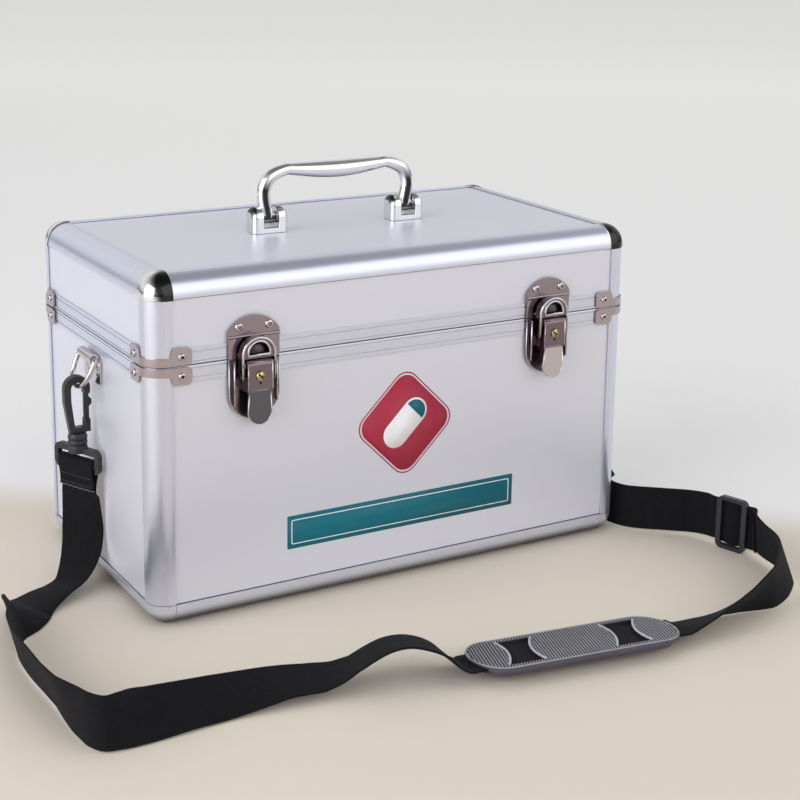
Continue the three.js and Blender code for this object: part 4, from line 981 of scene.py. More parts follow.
def slider_frame():
    """Thin bars at the front over the webbing, and the middle bar at the back under it."""
    stand = upright()
    outline = rounded(-SLIDER_LONG, SLIDER_LONG, -SLIDER_TALL, SLIDER_TALL, SLIDER_CORNER)
    window = rounded(-SLIDER_END, SLIDER_END, -SLIDER_SLOT, SLIDER_SLOT, 1)
    piece = plate("slider_frame", outline, [window], -SLIDER_THICK, SLIDER_THICK, GLOSSY, stand)
    back = plate("back", box_outline(-SLIDER_REACH, SLIDER_REACH, -SLIDER_SLOT, SLIDER_SLOT), [], 0.5,
                 SLIDER_BACK, GLOSSY, stand)
    bar = plate("bar", box_outline(-BAR_HALF, BAR_HALF, -SLIDER_SLOT - 0.5, SLIDER_SLOT + 0.5), [], BAR_LOW,
                SLIDER_THICK - BAR_SUNK, GLOSSY, stand)
    piece = carved(piece, [], [back])
    piece = carved(piece, [bar], [])
    piece.data.transform(slider_matrix)
    soften(piece, *SLIDER_EDGES)
    return settle(piece, "slider", "black_plastic", "strap_slider")


SLIDER_PLY = [(-9, -1.5), (-7, -1.4), (-5.2, -0.9), (-3.6, 0.0), (-1.8, 0.5), (0, 0.6),
              (1.8, 0.5), (3.6, 0.0), (5.2, -0.9), (7, -1.4), (9, -1.5), (13, -1.5)]
PLY_PAST = 13
PLY_START = 10 * MM
PLY_STEPS = 50


def slider_ply():
    """The webbing that goes over the slider's middle bar and lies doubled on the strap beside it."""
    near = int(np.argmin(np.linalg.norm(place - np.array(SLIDER_PLACE), axis=1)))
    normal = np.array(slider_turn @ Vector((0, 1, 0)))
    ahead = np.array(slider_turn @ Vector((1, 0, 0)))
    side = np.array((0.0, 0.0, 1.0))
    stations = []
    for k in range(len(place)):
        before = distance[near] - distance[k]
        if PLY_START < before < (SLIDER_LONG + PLY_PAST) * MM:
            out = face[k] if face[k] @ normal > 0 else -face[k]
            way = across[k] if across[k][2] > 0 else -across[k]
            stations.append((place[k] + out * PLY_GAP, run[k], way))
    centre = np.array(SLIDER_PLACE) + normal * SLIDER_OFFSET * MM
    points = [centre + ahead * x * MM + normal * n * MM for x, n in SLIDER_PLY]
    stations += [(point, along, side) for point, along in with_runs(smooth_line(points, PLY_STEPS))]
    return settle(band("slider_ply", stations), "slider", "webbing")


slider = slider_frame()
slider_wrap = slider_ply()


# Boards stay as they are packed, in their own look

for node in frame["nodes"]:
    if node.endswith("_panel"):
        body = frame["nodes"][node]
        body.data.materials.clear()
        body.data.materials.append(BOARD)


# Aluminium rails, corner posts and rims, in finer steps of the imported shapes

CORNER = 14
LIP = 0.9
SLOT_FAR = 5.5
WALL_DEPTH = 6.7
SLOT_FLOOR = 11.8
FRAME_TALL = 15.3
POST_GAP = 0.3
BOARD_GRIP = 3.5
FOOT_DROP = 0.8
SEAM_GAP = 0.12
ARC_STEPS = 14
HALF_X = CASE_LENGTH / MM / 2
HALF_Y = CASE_DEPTH / MM / 2
TOP = CASE_HEIGHT / MM
SHIFT = CASE_SHIFT / MM


def outer_arc():
    """The round outer corner of a profile, as depths from the wall and from the face beside it."""
    return [(CORNER + x, CORNER + y) for x, y in arc((0, 0), CORNER, 180, 270, ARC_STEPS)]


def edge_profile(leg):
    grip = leg - BOARD_GRIP
    return [*outer_arc(), (leg, 0), (leg, LIP), (grip, LIP), (grip, SLOT_FAR), (leg, SLOT_FAR),
            (leg, WALL_DEPTH), (WALL_DEPTH, WALL_DEPTH), (WALL_DEPTH, FRAME_TALL), (SLOT_FAR, FRAME_TALL),
            (SLOT_FAR, SLOT_FLOOR), (LIP, SLOT_FLOOR), (LIP, FRAME_TALL), (0, FRAME_TALL)]


def at_corner(depth, sx, sy, angle):
    """A point at a depth from the walls, round one corner; past the rounding it stays in the corner."""
    x = HALF_X - CORNER
    y = HALF_Y - CORNER
    reach = CORNER - depth
    if reach > 0:
        return sx * (x + reach * cos(angle)), sy * (y + reach * sin(angle))
    return sx * (x + reach), sy * (y + reach)


def swept(name, rings, material, closed=False):
    placed = [[(x * MM, (y + SHIFT) * MM, z * MM) for x, y, z in ring] for ring in rings]
    piece = many_rings(name, [placed], material, closed)
    cleaned(piece.data, join=True, outward=True)
    return piece


def top_rail():
    profile = edge_profile(TOP_LEG / MM)
    rings = []
    for sx, sy in ((1, 1), (-1, 1), (-1, -1), (1, -1)):
        turns = range(ARC_STEPS + 1) if sx * sy > 0 else range(ARC_STEPS, -1, -1)
        for k in turns:
            angle = pi / 2 * k / ARC_STEPS
            rings.append([(*at_corner(d, sx, sy, angle), TOP - h) for d, h in profile])
    return swept("lid_top_frame_finish", rings, RAIL, closed=True)


def straight_bar(name, profile, side, along_x, end, material):
    """A bar along one wall, its ends cut square outside and mitred inside."""
    half = HALF_X if along_x else HALF_Y
    wall = HALF_Y if along_x else HALF_X
    rings = []
    for way in (-1, 1):
        ring = []
        for d, z in profile:
            u = way * (half - max(end, d))
            v = side * (wall - d)
            ring.append((u, v, z) if along_x else (v, u, z))
        rings.append(ring)
    return swept(name, rings, material)


def four_bars(profile, end, material):
    return [straight_bar("bar", profile, side, along_x, end, material)
            for side in (-1, 1) for along_x in (True, False)]


def bottom_rail():
    """Four rails between four corner castings, which stand a little lower."""
    leg = BOTTOM_LEG / MM
    post = POST_LEG / MM
    rail = [(d, max(h, FOOT_DROP)) for d, h in edge_profile(leg)]
    pieces = four_bars(rail, post + SEAM_GAP, RAIL)
    for sx in (-1, 1):
        for sy in (-1, 1):
            inner = post - SEAM_GAP
            foot = [*outer_arc(), (inner, 0), (inner, LIP), (inner, WALL_DEPTH), (WALL_DEPTH, WALL_DEPTH),
                    (WALL_DEPTH, FRAME_TALL), (0, FRAME_TALL)]
            rings = [[(sx * (HALF_X - max(inner, d)), sy * (HALF_Y - d), h) for d, h in foot]]
            for k in range(ARC_STEPS, -1, -1):
                rings.append([(*at_corner(d, sx, sy, pi / 2 * k / ARC_STEPS), h) for d, h in foot])
            rings.append([(sx * (HALF_X - d), sy * (HALF_Y - max(inner, d)), h) for d, h in foot])
            pieces.append(swept("foot", rings, RAIL))
    return joined("body_bottom_frame_finish", pieces)


def corner_post(name, sx, sy, low, high):
    leg = POST_LEG / MM
    half = [(0, leg), (LIP, leg), (LIP, SLOT_FLOOR), (SLOT_FAR, SLOT_FLOOR), (SLOT_FAR, leg),
            (WALL_DEPTH, leg)]
    other = [(b, a) for a, b in reversed(half[1:])]
    outline = [(leg, 0), *reversed(outer_arc()), *half, (WALL_DEPTH, WALL_DEPTH), *other]
    rings = [[(sx * (HALF_X - a), sy * (HALF_Y - b), z) for a, b in outline] for z in (low, high)]
    return swept(name, rings, POST)


SPLIT_Z = SPLIT / MM
SPLIT_HALF = 0.2
RIM = RIM_TALL / MM
RIM_OUT = RIM_INSET / MM
RIM_WEB = 4.5
TONGUE_OUTER = 7.0
TONGUE_INNER = 8.2
TONGUE_RISE = 5
TONGUE_GAP = 1
RIM_GROOVES = ((2.1, 0.32), (8.3, 0.3))
RIM_GROOVE_DEEP = 0.45
RIM_EDGE = 0.15
TONGUE_PLAY = 0.4


def rim_face(up):
    """The outer face of a rim from the split: a round edge and two fine grooves, as depth and height."""
    rows = [(RIM_OUT + 0.5, SPLIT_HALF), (RIM_OUT + RIM_EDGE, SPLIT_HALF + RIM_EDGE),
            (RIM_OUT, SPLIT_HALF + 0.5)]
    for rise, half in RIM_GROOVES:
        rows += [(RIM_OUT, rise - half), (RIM_OUT + RIM_GROOVE_DEEP, rise - half / 2),
                 (RIM_OUT + RIM_GROOVE_DEEP, rise + half / 2), (RIM_OUT, rise + half)]
    rows.append((RIM_OUT, RIM))
    return [(d, SPLIT_Z + up * z) for d, z in rows]


def rim_frame(name, up):
    near = SPLIT_Z + up * SPLIT_HALF
    far = SPLIT_Z + up * RIM
    web = near + up * RIM_WEB
    slot = [(LIP, far), (LIP, web), (SLOT_FAR, web), (SLOT_FAR, far)]
    profile = [*rim_face(up), *slot, (WALL_DEPTH, far), (WALL_DEPTH, near)]
    pieces = four_bars(profile, POST_LEG / MM + POST_GAP, RAIL)
    top = SPLIT_Z + TONGUE_RISE
    low, high = (far, top) if up < 0 else (top + TONGUE_GAP, far)
    outer = TONGUE_OUTER - TONGUE_PLAY if up > 0 else TONGUE_OUTER
    pieces += four_bars([(outer, low), (outer, high), (TONGUE_INNER, high), (TONGUE_INNER, low)], 0, RAIL)
    return joined(name, pieces)


top_frame = top_rail()
bottom_frame = bottom_rail()
for piece, body, node in ((top_frame, "lid", "lid_top_frame"), (bottom_frame, "case", "body_bottom_frame")):
    soften(piece, *RAIL_EDGES)
    settle(piece, body, "rail", node)
for sy, face_name in ((-1, "front"), (1, "back")):
    for end, sx in SIDES.items():
        for body, part, low, high in (("case", "body", FRAME_TALL + POST_GAP, SPLIT_Z - SPLIT_HALF),
                                      ("lid", "lid", SPLIT_Z + SPLIT_HALF, TOP - FRAME_TALL - POST_GAP)):
            node = f"{part}_post_{face_name}_{end}"
            piece = corner_post(f"{node}_finish", sx, sy, low, high)
            soften(piece, *POST_EDGES)
            settle(piece, body, "rail", node)
for node, body, up in (("body_rim", "case", -1), ("lid_rim", "lid", 1)):
    piece = rim_frame(f"{node}_finish", up)
    soften(piece, *RIM_EDGES)
    settle(piece, body, "rail", node)


# Bright caps and clasps over the corners

PLATE_GAP = 0.3
CAP_GAP = 0.1
CAP_WALL = 0.5
CAP_LEG = 17
CAP_DROP = 16
CAP_STEP = 1.0
CLASP_WALL = 1.0
CLASP_REACH = 28.5
CLASP_BAND = 5.5
CLASP_LEAF = 11.4
CLASP_START = 14.5
CLASP_ROUND = 3
CLASP_GAP = 0.6
CLASP_STEPS = 6
ARC_TURNS = 16
CLASP_EDGE = 0.01
RIVET_RADIUS = 2.5
RIVET_TALL = 1.3


def corner_cap(name, sx, sy):
    """A shell over one top corner: a grid over the three faces, pushed out to the rounding."""
    spans = (CAP_LEG, CAP_LEG, CAP_DROP)
    grid = [[span * k / round(span / CAP_STEP) for k in range(round(span / CAP_STEP) + 1)] for span in spans]
    index = {}
    vertices = []
    faces = []

    def vertex(point, offset):
        key = (*(round(part, 4) for part in point), offset)
        if key not in index:
            inner = [max(part, CORNER) for part in point]
            away = Vector([a - b for a, b in zip(point, inner)]).normalized()
            x, y, z = (a + b * (CORNER + offset) for a, b in zip(inner, away))
            index[key] = len(vertices)
            vertices.append((sx * (HALF_X - x) * MM, (sy * (HALF_Y - y) + SHIFT) * MM, (TOP - z) * MM))
        return index[key]

    for axis in range(3):
        a, b = [k for k in range(3) if k != axis]
        for i in range(len(grid[a]) - 1):
            for j in range(len(grid[b]) - 1):
                corners = []
                for u, v in ((i, j), (i + 1, j), (i + 1, j + 1), (i, j + 1)):
                    point = [0.0, 0.0, 0.0]
                    point[a], point[b] = grid[a][u], grid[b][v]
                    corners.append(tuple(point))
                for offset in (CAP_GAP, CAP_GAP + CAP_WALL):
                    faces.append(tuple(vertex(point, offset) for point in corners))
                for p, q in zip(corners, corners[1:] + corners[:1]):
                    if any(p[k] == q[k] == spans[k] for k in range(3)):
                        faces.append((vertex(p, CAP_GAP), vertex(q, CAP_GAP),
                                      vertex(q, CAP_GAP + CAP_WALL), vertex(p, CAP_GAP + CAP_WALL)))
    piece = new_piece(name, vertices, faces, CAP_CHROME)
    soften(piece, *CAP_EDGES)
    return piece


def clasp_height(s):
    """Lowest and highest part of a clasp at a distance along the wall from the corner."""
    if s < CLASP_START:
        return 0.0, CLASP_BAND
    near, far = (CLASP_ROUND - min(gap, CLASP_ROUND) for gap in (s - CLASP_START, CLASP_REACH - s))
    inner, outer = (CLASP_ROUND - sqrt(max(0.0, CLASP_ROUND ** 2 - past ** 2)) for past in (near, far))
    return outer, CLASP_LEAF - max(inner, outer)


def clasp_stations():
    steps = [CLASP_ROUND * (1 - cos(radians(90 * k / CLASP_STEPS))) for k in range(1, CLASP_STEPS + 1)]
    return [CLASP_START, CLASP_START + CLASP_EDGE, *(CLASP_START + step for step in steps),
            *(CLASP_REACH - step for step in reversed(steps)), CLASP_REACH - CLASP_EDGE / 2]


def clasp(name, sx, sy, up):
    leaf = clasp_stations()
    out = PLATE_GAP + CLASP_WALL
    rings = []
    places = [("x", s) for s in reversed(leaf)]
    places += [("arc", radians(90 - 90 * k / ARC_TURNS)) for k in range(ARC_TURNS + 1)]
    places += [("y", s) for s in leaf]
    for kind, s in places:
        low, high = (0.0, CLASP_BAND) if kind == "arc" else clasp_height(s)
        ring = []
        for offset, z in ((PLATE_GAP, low), (out, low), (out, high), (PLATE_GAP, high)):
            if kind == "x":
                x, y = sx * (HALF_X - s), sy * (HALF_Y + offset)
            elif kind == "y":
                x, y = sx * (HALF_X + offset), sy * (HALF_Y - s)
            else:
                x, y = at_corner(-offset, sx, sy, s)
            ring.append((x, y, SPLIT_Z + up * (CLASP_GAP + z)))
        rings.append(ring)
    pieces = [swept(name, rings, CLASP_NICKEL)]
    rise = SPLIT_Z + up * (CLASP_GAP + CLASP_LEAF / 2)
    away = (CLASP_START + CLASP_REACH) / 2
    for x, y, way in ((HALF_X - away, HALF_Y + out, (0, sy, 0)), (HALF_X + out, HALF_Y - away, (sx, 0, 0))):
        pieces.append(rivet((sx * x, sy * y, rise), way, RIVET_RADIUS, RIVET_TALL))
    piece = joined(name, pieces)
    soften(piece, *CLASP_EDGES)
    return piece


PIT_SHARE = 0.4
RIVET_ROWS = ((1.0, -0.1), (1.0, 0.18), (0.93, 0.55), (0.78, 0.82), (0.6, 0.97), (0.46, 1.0), (0.34, 0.86),
              (0.26, 0.5), (0.12, 0.42))


def rivet(centre, out, radius, tall, sides=20):
    """A rivet head with a round shoulder and a small dimple whose middle is painted dark as shade."""
    out = Vector(out)
    up = out.orthogonal().normalized()
    rings = [circle(Vector(centre) + out * tall * high, up, out.cross(up), radius * wide, sides)
             for wide, high in RIVET_ROWS]
    head = swept("rivet", rings, NICKEL)
    middle = Vector((centre[0], centre[1] + SHIFT, centre[2])) * MM
    # Painted shade: the middle of the head, in the dimple, is dark.
    paint_faces(head, PIT_SHADE, lambda spot, normal: out.cross(spot - middle).length < PIT_SHARE * radius * MM)
    return head


for sy, face_name in ((-1, "front"), (1, "back")):
    for end, sx in SIDES.items():
        node = f"lid_cap_{face_name}_{end}"
        settle(corner_cap(f"{node}_finish", sx, sy), "lid", "chrome", node)
        for part, body, up in (("body", "case", -1), ("lid", "lid", 1)):
            node = f"{part}_clasp_{end}"
            name, nodes = (f"{node}_finish", [node]) if sy < 0 else (f"{part}_rear_clasp_{end}", [])
            settle(clasp(name, sx, sy, up), body, "nickel", *nodes)


# Painted shade: dark strips in the seams between the boards and the rails

SEAM_WIDE = 0.5
SEAM_OUT = 0.12
SEAM_IN = 0.2
SEAM_END = 0.1


def seam_shades(name, body, heights):
    """A thin dark strip on the boards where each meets a rail: painted shade in the gap between them."""
    depth = BOARD_FACE / MM
    pieces = []
    for z in heights:
        low, high = z - SEAM_WIDE, z + SEAM_WIDE
        inner, outer = depth + SEAM_IN, depth - SEAM_OUT
        profile = [(inner, low), (outer, low), (outer, high), (inner, high)]
        pieces += four_bars(profile, POST_LEG / MM + SEAM_END, SEAM_SHADE)
    return settle(joined(name, pieces), body, "rail")


seam_shades("body_seam_shades", "case", [FRAME_TALL])
seam_shades("lid_seam_shades", "lid", [TOP - FRAME_TALL])

# Latches, hinges, rings and hooks, with bright rims on the latches' folded edges

LATCH_ROUND = 18
LATCH_BOTTOM = 133.5
BASE_OUT = 1.3
FLANGE_X = 15
FLANGE_OUT = 4
FLANGE_LOW = 144.5
LINK_HALF = 11.9
LINK_CROWN = 189.7
LINK_OUT = 8.9
LINK_LOW = 164
WINDOW_TRIM = 7.6
WINDOW_SILL = 177.6
WINDOW_CROWN = 186.9
LEVER_HALF = 9
LEVER_OUT = 10.6
LEVER_TRIM_TOP = 173.6
LEVER_TRIM_LOW = 155
WINDOW_DEEP = 7.5
TAB_NECK = 7.4
TAB_TOP = 153.4
TAB_CENTRE = 141.8
TAB_ROUND = 10
TAB_NARROW = 0.86
TAB_OUT = 9.8
TAB_TURN = 12
TAB_PAINT = 153.3 * MM
TAB_BEND = 153.9 * MM
DISC_STEPS = 40
PLUG_OUT = 11.1
PLUG_Z = 164.4
PLUG_ROUND = 3.1
PLUG_SLOT = 4.8
SLOT_HALF = 0.6
PLUG_TURN = -42
RIM_WIRE = 0.5
LINK_WIRE = 0.9
THIN_PLATE = 0.3 * MM
FLANGE_WIRE = 0.55
LEVER_WIRE = 0.65
TAB_WIRE = 0.4
EDGE_GAP = 0.6
LINK_EDGE = 0.7
LEVER_EDGE = 0.4
SLOT_LOW = 0.25 * MM
SLOT_HIGH = 0.4 * MM
STRIKE_RIVET_TALL = 1.6
STRIKE_RIVET_X = 10.5
STRIKE_RIVET_Z = 195.3
STRIKE_RIVET = 2.95
LATCH_LEFT = LATCH_X / MM


def arch(half, low, crown, steps=24):
    """Up one side, over a half circle and down the other side."""
    return [(half, low), *arc((0, crown - half), half, 0, 180, steps), (-half, low)]


def wire(points, side, out, radius=RIM_WIRE, closed=False):
    """A fine bright rim on a latch, from points across and up at a distance out from the case."""
    line = [((side * LATCH_LEFT + x) * MM, FRONT - out * MM, z * MM) for x, z in points]
    return tube("rim", line, radius * MM, 10, NICKEL, closed)


def in_metres(points):
    return [(x * MM, z * MM) for x, z in points]


def latch_trim(end, side):
    edge = LATCH_ROUND - RIM_WIRE
    plate_edge = [(edge, SPLIT_Z - EDGE_GAP), *arc((0, LATCH_BOTTOM + LATCH_ROUND), edge, 0, -180, 40),
                  (-edge, SPLIT_Z - EDGE_GAP)]
    base = [wire(plate_edge, side, BASE_OUT)]
    for x in (-FLANGE_X, FLANGE_X):
        base.append(wire([(x, FLANGE_LOW), (x, SPLIT_Z - 1)], side, FLANGE_OUT, FLANGE_WIRE))
    settle(joined(f"latch_base_rims_{end}", base), "case", "nickel")
    window = arch(WINDOW_TRIM, WINDOW_SILL, WINDOW_CROWN)
    link = [wire(arch(LINK_HALF - LINK_EDGE, LINK_LOW, LINK_CROWN - LINK_EDGE), side, LINK_OUT, LINK_WIRE),
            wire(window, side, LINK_OUT, LINK_WIRE, closed=True)]
    # Painted shade: a dark plate just behind the link's window, standing in for the shade seen through it.
    stand = upright(side * LATCH_X, FRONT - WINDOW_DEEP * MM)
    link.append(plate("shade", in_metres(window), [], 0, THIN_PLATE, WINDOW_SHADE, stand))
    settle(joined(f"latch_link_rims_{end}", link), f"link_{end}", "nickel")
    edge = LEVER_HALF - LEVER_EDGE
    panel = [(edge, LEVER_TRIM_TOP), (edge, LEVER_TRIM_LOW), (-edge, LEVER_TRIM_LOW), (-edge, LEVER_TRIM_TOP)]
    tab_arc = arc((0, TAB_CENTRE), (TAB_NARROW * TAB_ROUND, TAB_ROUND), -180 + TAB_TURN, -TAB_TURN, 30)
    tab = [(-TAB_NECK, TAB_TOP), *tab_arc, (TAB_NECK, TAB_TOP)]
    lever = [wire(panel, side, LEVER_OUT, LEVER_WIRE, closed=True), wire(tab, side, TAB_OUT, TAB_WIRE)]
    settle(joined(f"latch_lever_rims_{end}", lever), f"latch_{end}", "nickel")
    stand = upright(side * LATCH_X, FRONT - PLUG_OUT * MM, PLUG_Z * MM)
    disc = in_metres(arc((0, 0), PLUG_ROUND, 0, 360, DISC_STEPS)[:-1])
    slot = in_metres(capsule(PLUG_SLOT, SLOT_HALF, PLUG_TURN, 0, 0, 8))
    # Painted shade: the key slot is a dark plate on the brass disc.
    plug = [plate("disc", disc, [], 0, THIN_PLATE, BRASS, stand),
            plate("slot", slot, [], SLOT_LOW, SLOT_HIGH, PIT_SHADE, stand)]
    settle(joined(f"latch_plug_face_{end}", plug), f"key_{end}", "brass")
    heads = [rivet((side * LATCH_LEFT + way * STRIKE_RIVET_X, -HALF_Y - BASE_OUT, STRIKE_RIVET_Z), (0, -1, 0),
                   STRIKE_RIVET, STRIKE_RIVET_TALL) for way in (-1, 1)]
    settle(joined(f"latch_strike_rivets_{end}", heads), "lid", "nickel")


EAR_INNER = 5.7
EAR_OUTER = 13.5
EAR_DEPTH = 8
EAR_ROUND = 4.2
EAR_LOW = TOP - 0.9
BRACKET_SILL = TOP + 2.8
PIN_BORE = 2.35
EAR_EDGE = 0.15
EAR_STEPS = 10
SILL_ROUND = 0.6
BORE_PAST = 4.8
HANDLE_PIVOT = 242
HANDLE_FOOT = 55


def ear(centre, way):
    """One ear of a handle bracket: an arch across the case that rounds over at its outer end."""
    insets = [(EAR_INNER, 0.5), (EAR_INNER + EAR_EDGE, EAR_EDGE), (EAR_INNER + 0.5, 0)]
    insets += [(EAR_OUTER - EAR_ROUND * (1 - sin(a)), EAR_ROUND * (1 - cos(a)))
               for a in (radians(90 * k / EAR_STEPS) for k in range(EAR_STEPS + 1))]
    rings = []
    for x, inset in insets:
        half = EAR_DEPTH - inset
        profile = [(-half, EAR_LOW), *arc((0, HANDLE_PIVOT), half, 180, 0, 28), (half, EAR_LOW)]
        rings.append([(centre + way * x, y, z) for y, z in profile])
    return swept("ear", rings, CHROME)


def handle_bracket(end, side):
    centre = side * HANDLE_FOOT
    ears = [ear(centre, way) for way in (-1, 1)]
    left = [(-EAR_DEPTH, EAR_LOW), (-EAR_DEPTH, BRACKET_SILL - SILL_ROUND),
            (SILL_ROUND - EAR_DEPTH, BRACKET_SILL)]
    profile = left + [(-y, z) for y, z in reversed(left)]
    sill = [[(centre + x, y, z) for y, z in profile] for x in (-EAR_INNER - 1, EAR_INNER + 1)]
    reach = Vector(((EAR_INNER + BORE_PAST) * MM, 0, 0))
    spot = Vector((centre * MM, CASE_SHIFT, HANDLE_PIVOT * MM))
    bore = tube("bore", [spot - reach, spot + reach], PIN_BORE * MM, 24, CHROME)
    piece = carved(ears[0], [ears[1], swept("sill", sill, CHROME)], [bore])
    piece.name = f"handle_bracket_{end}_finish"
    piece.data.name = piece.name
    soften(piece, *BRACKET_EDGES)
    return settle(piece, "lid", "chrome", f"handle_bracket_{end}")


# The latch base, lever and link take the darkest nickel copy, its colour painted dark reflection.
LATCH_FITTINGS = [
    ("latch_base", SHADED_NICKEL, "nickel", 0.25, 3), ("latch_lever", SHADED_NICKEL, "nickel", 0.3, 3),
    ("latch_link", SHADED_NICKEL, "nickel", 0.35, 3), ("key_plug", BRASS, "brass", 0.2, 3),
    ("latch_strike", STRIKE_NICKEL, "nickel", 0.25, 3),
]
HINGE_FITTINGS = [("hinge_body_leaf", NICKEL, "nickel", 0.3, 3), ("hinge_lid_leaf", NICKEL, "nickel", 0.3, 3)]
STRAP_FITTINGS = [
    ("ring_tab", NICKEL, "nickel", 0.25, 3), ("snap_hook", MOULDED, "black_plastic", 1.1, 4),
    ("hook_gate", MOULDED, "black_plastic", 0.5, 3), ("hook_eye", MOULDED, "black_plastic", 0.8, 4),
]


def fit(fittings, end):
    """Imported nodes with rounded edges: name, material, slot, then width and steps of the rounding."""
    for node, material, slot, bevel, segments in fittings:
        polished(f"{node}_{end}", material, slot, bevel * MM, segments)


for end, side in SIDES.items():
    fit(LATCH_FITTINGS, end)
    lever = bpy.data.objects[f"latch_lever_{end}_finish"]
    # The tabs below TAB_PAINT are recoloured: the right one plain nickel, the left one a duller dark grey as
    # painted shade.
    paint_faces(lever, TAB_SHADE if side < 0 else NICKEL, lambda centre, normal: centre.z < TAB_PAINT)
    for vertex in lever.data.vertices:
        if vertex.co.z < TAB_BEND:
            vertex.co.x = side * LATCH_X + (vertex.co.x - side * LATCH_X) * TAB_NARROW
    latch_trim(end, side)
    fit(HINGE_FITTINGS, end)
    handle_bracket(end, side)
    fit(STRAP_FITTINGS, end)


# Handle and wire rings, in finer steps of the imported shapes

HANDLE_TOP = 278.7
GRIP_END = 4.0
GRIP_MIDDLE = 6.1
LEG_RADIUS = 4.7
LEG_BOW = 2.5
GRIP_SHARE = 0.73
BEND_SHARE = 2.2
BELLY_POWER = 1.5
BAIL_STEPS = 151
BAIL_SIDES = 36
LEG_GROWTH = 0.3
GRIP_STATIONS = (-0.85, -0.5, 0, 0.5, 0.85)
BARRELS = ((5.4, 4.4), (10.2, 2))
BARREL_SIDES = 32
RING_STEPS = 120


def handle_bail():
    """A straight top edge with a full underside, thick legs, and the barrels and pins at its feet."""
    grip_half = HANDLE_FOOT * GRIP_SHARE
    right = [(grip_half, HANDLE_TOP - GRIP_END), (HANDLE_FOOT - LEG_BOW, HANDLE_TOP - GRIP_END * BEND_SHARE),
             (HANDLE_FOOT + LEG_BOW, (HANDLE_PIVOT + HANDLE_TOP) / 2), (HANDLE_FOOT, HANDLE_PIVOT)]
    level = [(x * grip_half, HANDLE_TOP - GRIP_END) for x in GRIP_STATIONS]
    rows = [(-x, z) for x, z in reversed(right)] + level + right
    points = [np.array((x, 0, z)) for x, z in rows]
    rings = []
    for point, along in with_runs(smooth_line(points, BAIL_STEPS)):
        normal = np.array((-along[2], 0, along[0]))
        belly = max(0.0, 1 - (point[0] / grip_half) ** 2) ** BELLY_POWER
        leg = min(1.0, max(0.0, (abs(point[0]) / grip_half - 1) / LEG_GROWTH))
        radius = GRIP_END + (GRIP_MIDDLE - GRIP_END) * belly + (LEG_RADIUS - GRIP_END) * leg
        middle = point + np.array((0, SHIFT, -(GRIP_MIDDLE - GRIP_END) * belly))
        rings.append([spot * MM for spot in circle(middle, normal, np.array((0, -1, 0)), radius, BAIL_SIDES)])
    pieces = [many_rings("bail", [rings], BAIL_CHROME)]
    for side in (-1, 1):
        for half, radius in BARRELS:
            ends = [((side * HANDLE_FOOT + x) * MM, CASE_SHIFT, HANDLE_PIVOT * MM) for x in (-half, half)]
            pieces.append(tube("barrel", ends, radius * MM, BARREL_SIDES, BAIL_CHROME))
    piece = joined("handle_bail_finish", pieces)
    soften(piece, *BAIL_EDGES)
    return settle(piece, "handle", "chrome", "handle_bail")


handle_bail()

RING_WIRE = 1.75
RING_HALF = 15.2
RING_DEPTH = 22
RING_TILT = 24
RING_CORNER = 3.6
RING_OUT = 188.2
RING_HEIGHT = 159.5
RING_SHOULDER = (0.93, -0.3)
RING_WAIST = (0.74, -0.8)


def wire_ring(end, side):
    wide = RING_HALF - RING_CORNER
    right = [(wide, 0), (RING_HALF * RING_SHOULDER[0], RING_CORNER * RING_SHOULDER[1]),
             (RING_HALF, -RING_CORNER - RING_WIRE), (RING_HALF * RING_WAIST[0], RING_DEPTH * RING_WAIST[1])]
    rows = [(0, 0), *right, (0, -RING_DEPTH), *[(-y, z) for y, z in reversed(right)]]
    points = [np.array((0.0, y, z)) for y, z in rows]
    count = len(points)
    wrapped = [points[k % count] for k in range(-2, count + 3)]
    shares = [(2 + count * k / RING_STEPS) / (len(wrapped) - 1) for k in range(RING_STEPS)]
    dense = [smooth_route(wrapped, share) for share in shares]
    tilt = radians(RING_TILT)
    placed = [(side * (RING_OUT - z * sin(tilt)) * MM, CASE_SHIFT - side * y * MM,
               (RING_HEIGHT + z * cos(tilt)) * MM) for x, y, z in dense]
    ring = tube(f"side_ring_{end}_finish", placed, RING_WIRE * MM, 16, NICKEL, closed=True)
    return settle(ring, f"hanger_{end}", "nickel", f"side_ring_{end}")


for end, side in SIDES.items():
    wire_ring(end, side)


# Print on the front board

PRINT_THICK = 0.12 * MM
PRINT_SUNK = 0.02 * MM
print_place = upright(0, FRONT + BOARD_FACE, 0)


def print_plate(name, outline, holes, material, layer=1):
    low = (layer - 1) * PRINT_THICK
    scaled = [in_metres(loop) for loop in (outline, *holes)]
    piece = plate(name, scaled[0], scaled[1:], low - PRINT_SUNK, low + PRINT_THICK, material, print_place)
    return settle(piece, "case", "panel")


BAND_HALF = 89.5
BAND_LOW = 37.5
BAND_HIGH = 60.7
LINE_INSET = 3
LINE_WIDE = 0.6
MEDAL_Z = 112.4
MEDAL_SQUASH = 0.8
MEDAL_TURN = 45
MEDAL_LINE = (37, 11)
MEDAL_LINE_HOLE = (36, 10.4)
MEDAL_FIELD = (34.6, 10)
CAPSULE = (40, 9.5)
CAPSULE_HALF = (37.2, 8.1)
CAPSULE_SEAM = 0.6


def inset_band(inset, radius, steps):
    return rounded(inset - BAND_HALF, BAND_HALF - inset, BAND_LOW + inset, BAND_HIGH - inset, radius, steps)


print_plate("print_band", inset_band(0, 0.6, 3), [], TEAL)
print_plate("print_band_line", inset_band(LINE_INSET, 1.2, 4), [inset_band(LINE_INSET + LINE_WIDE, 0.8, 4)],
            WHITE, 2)


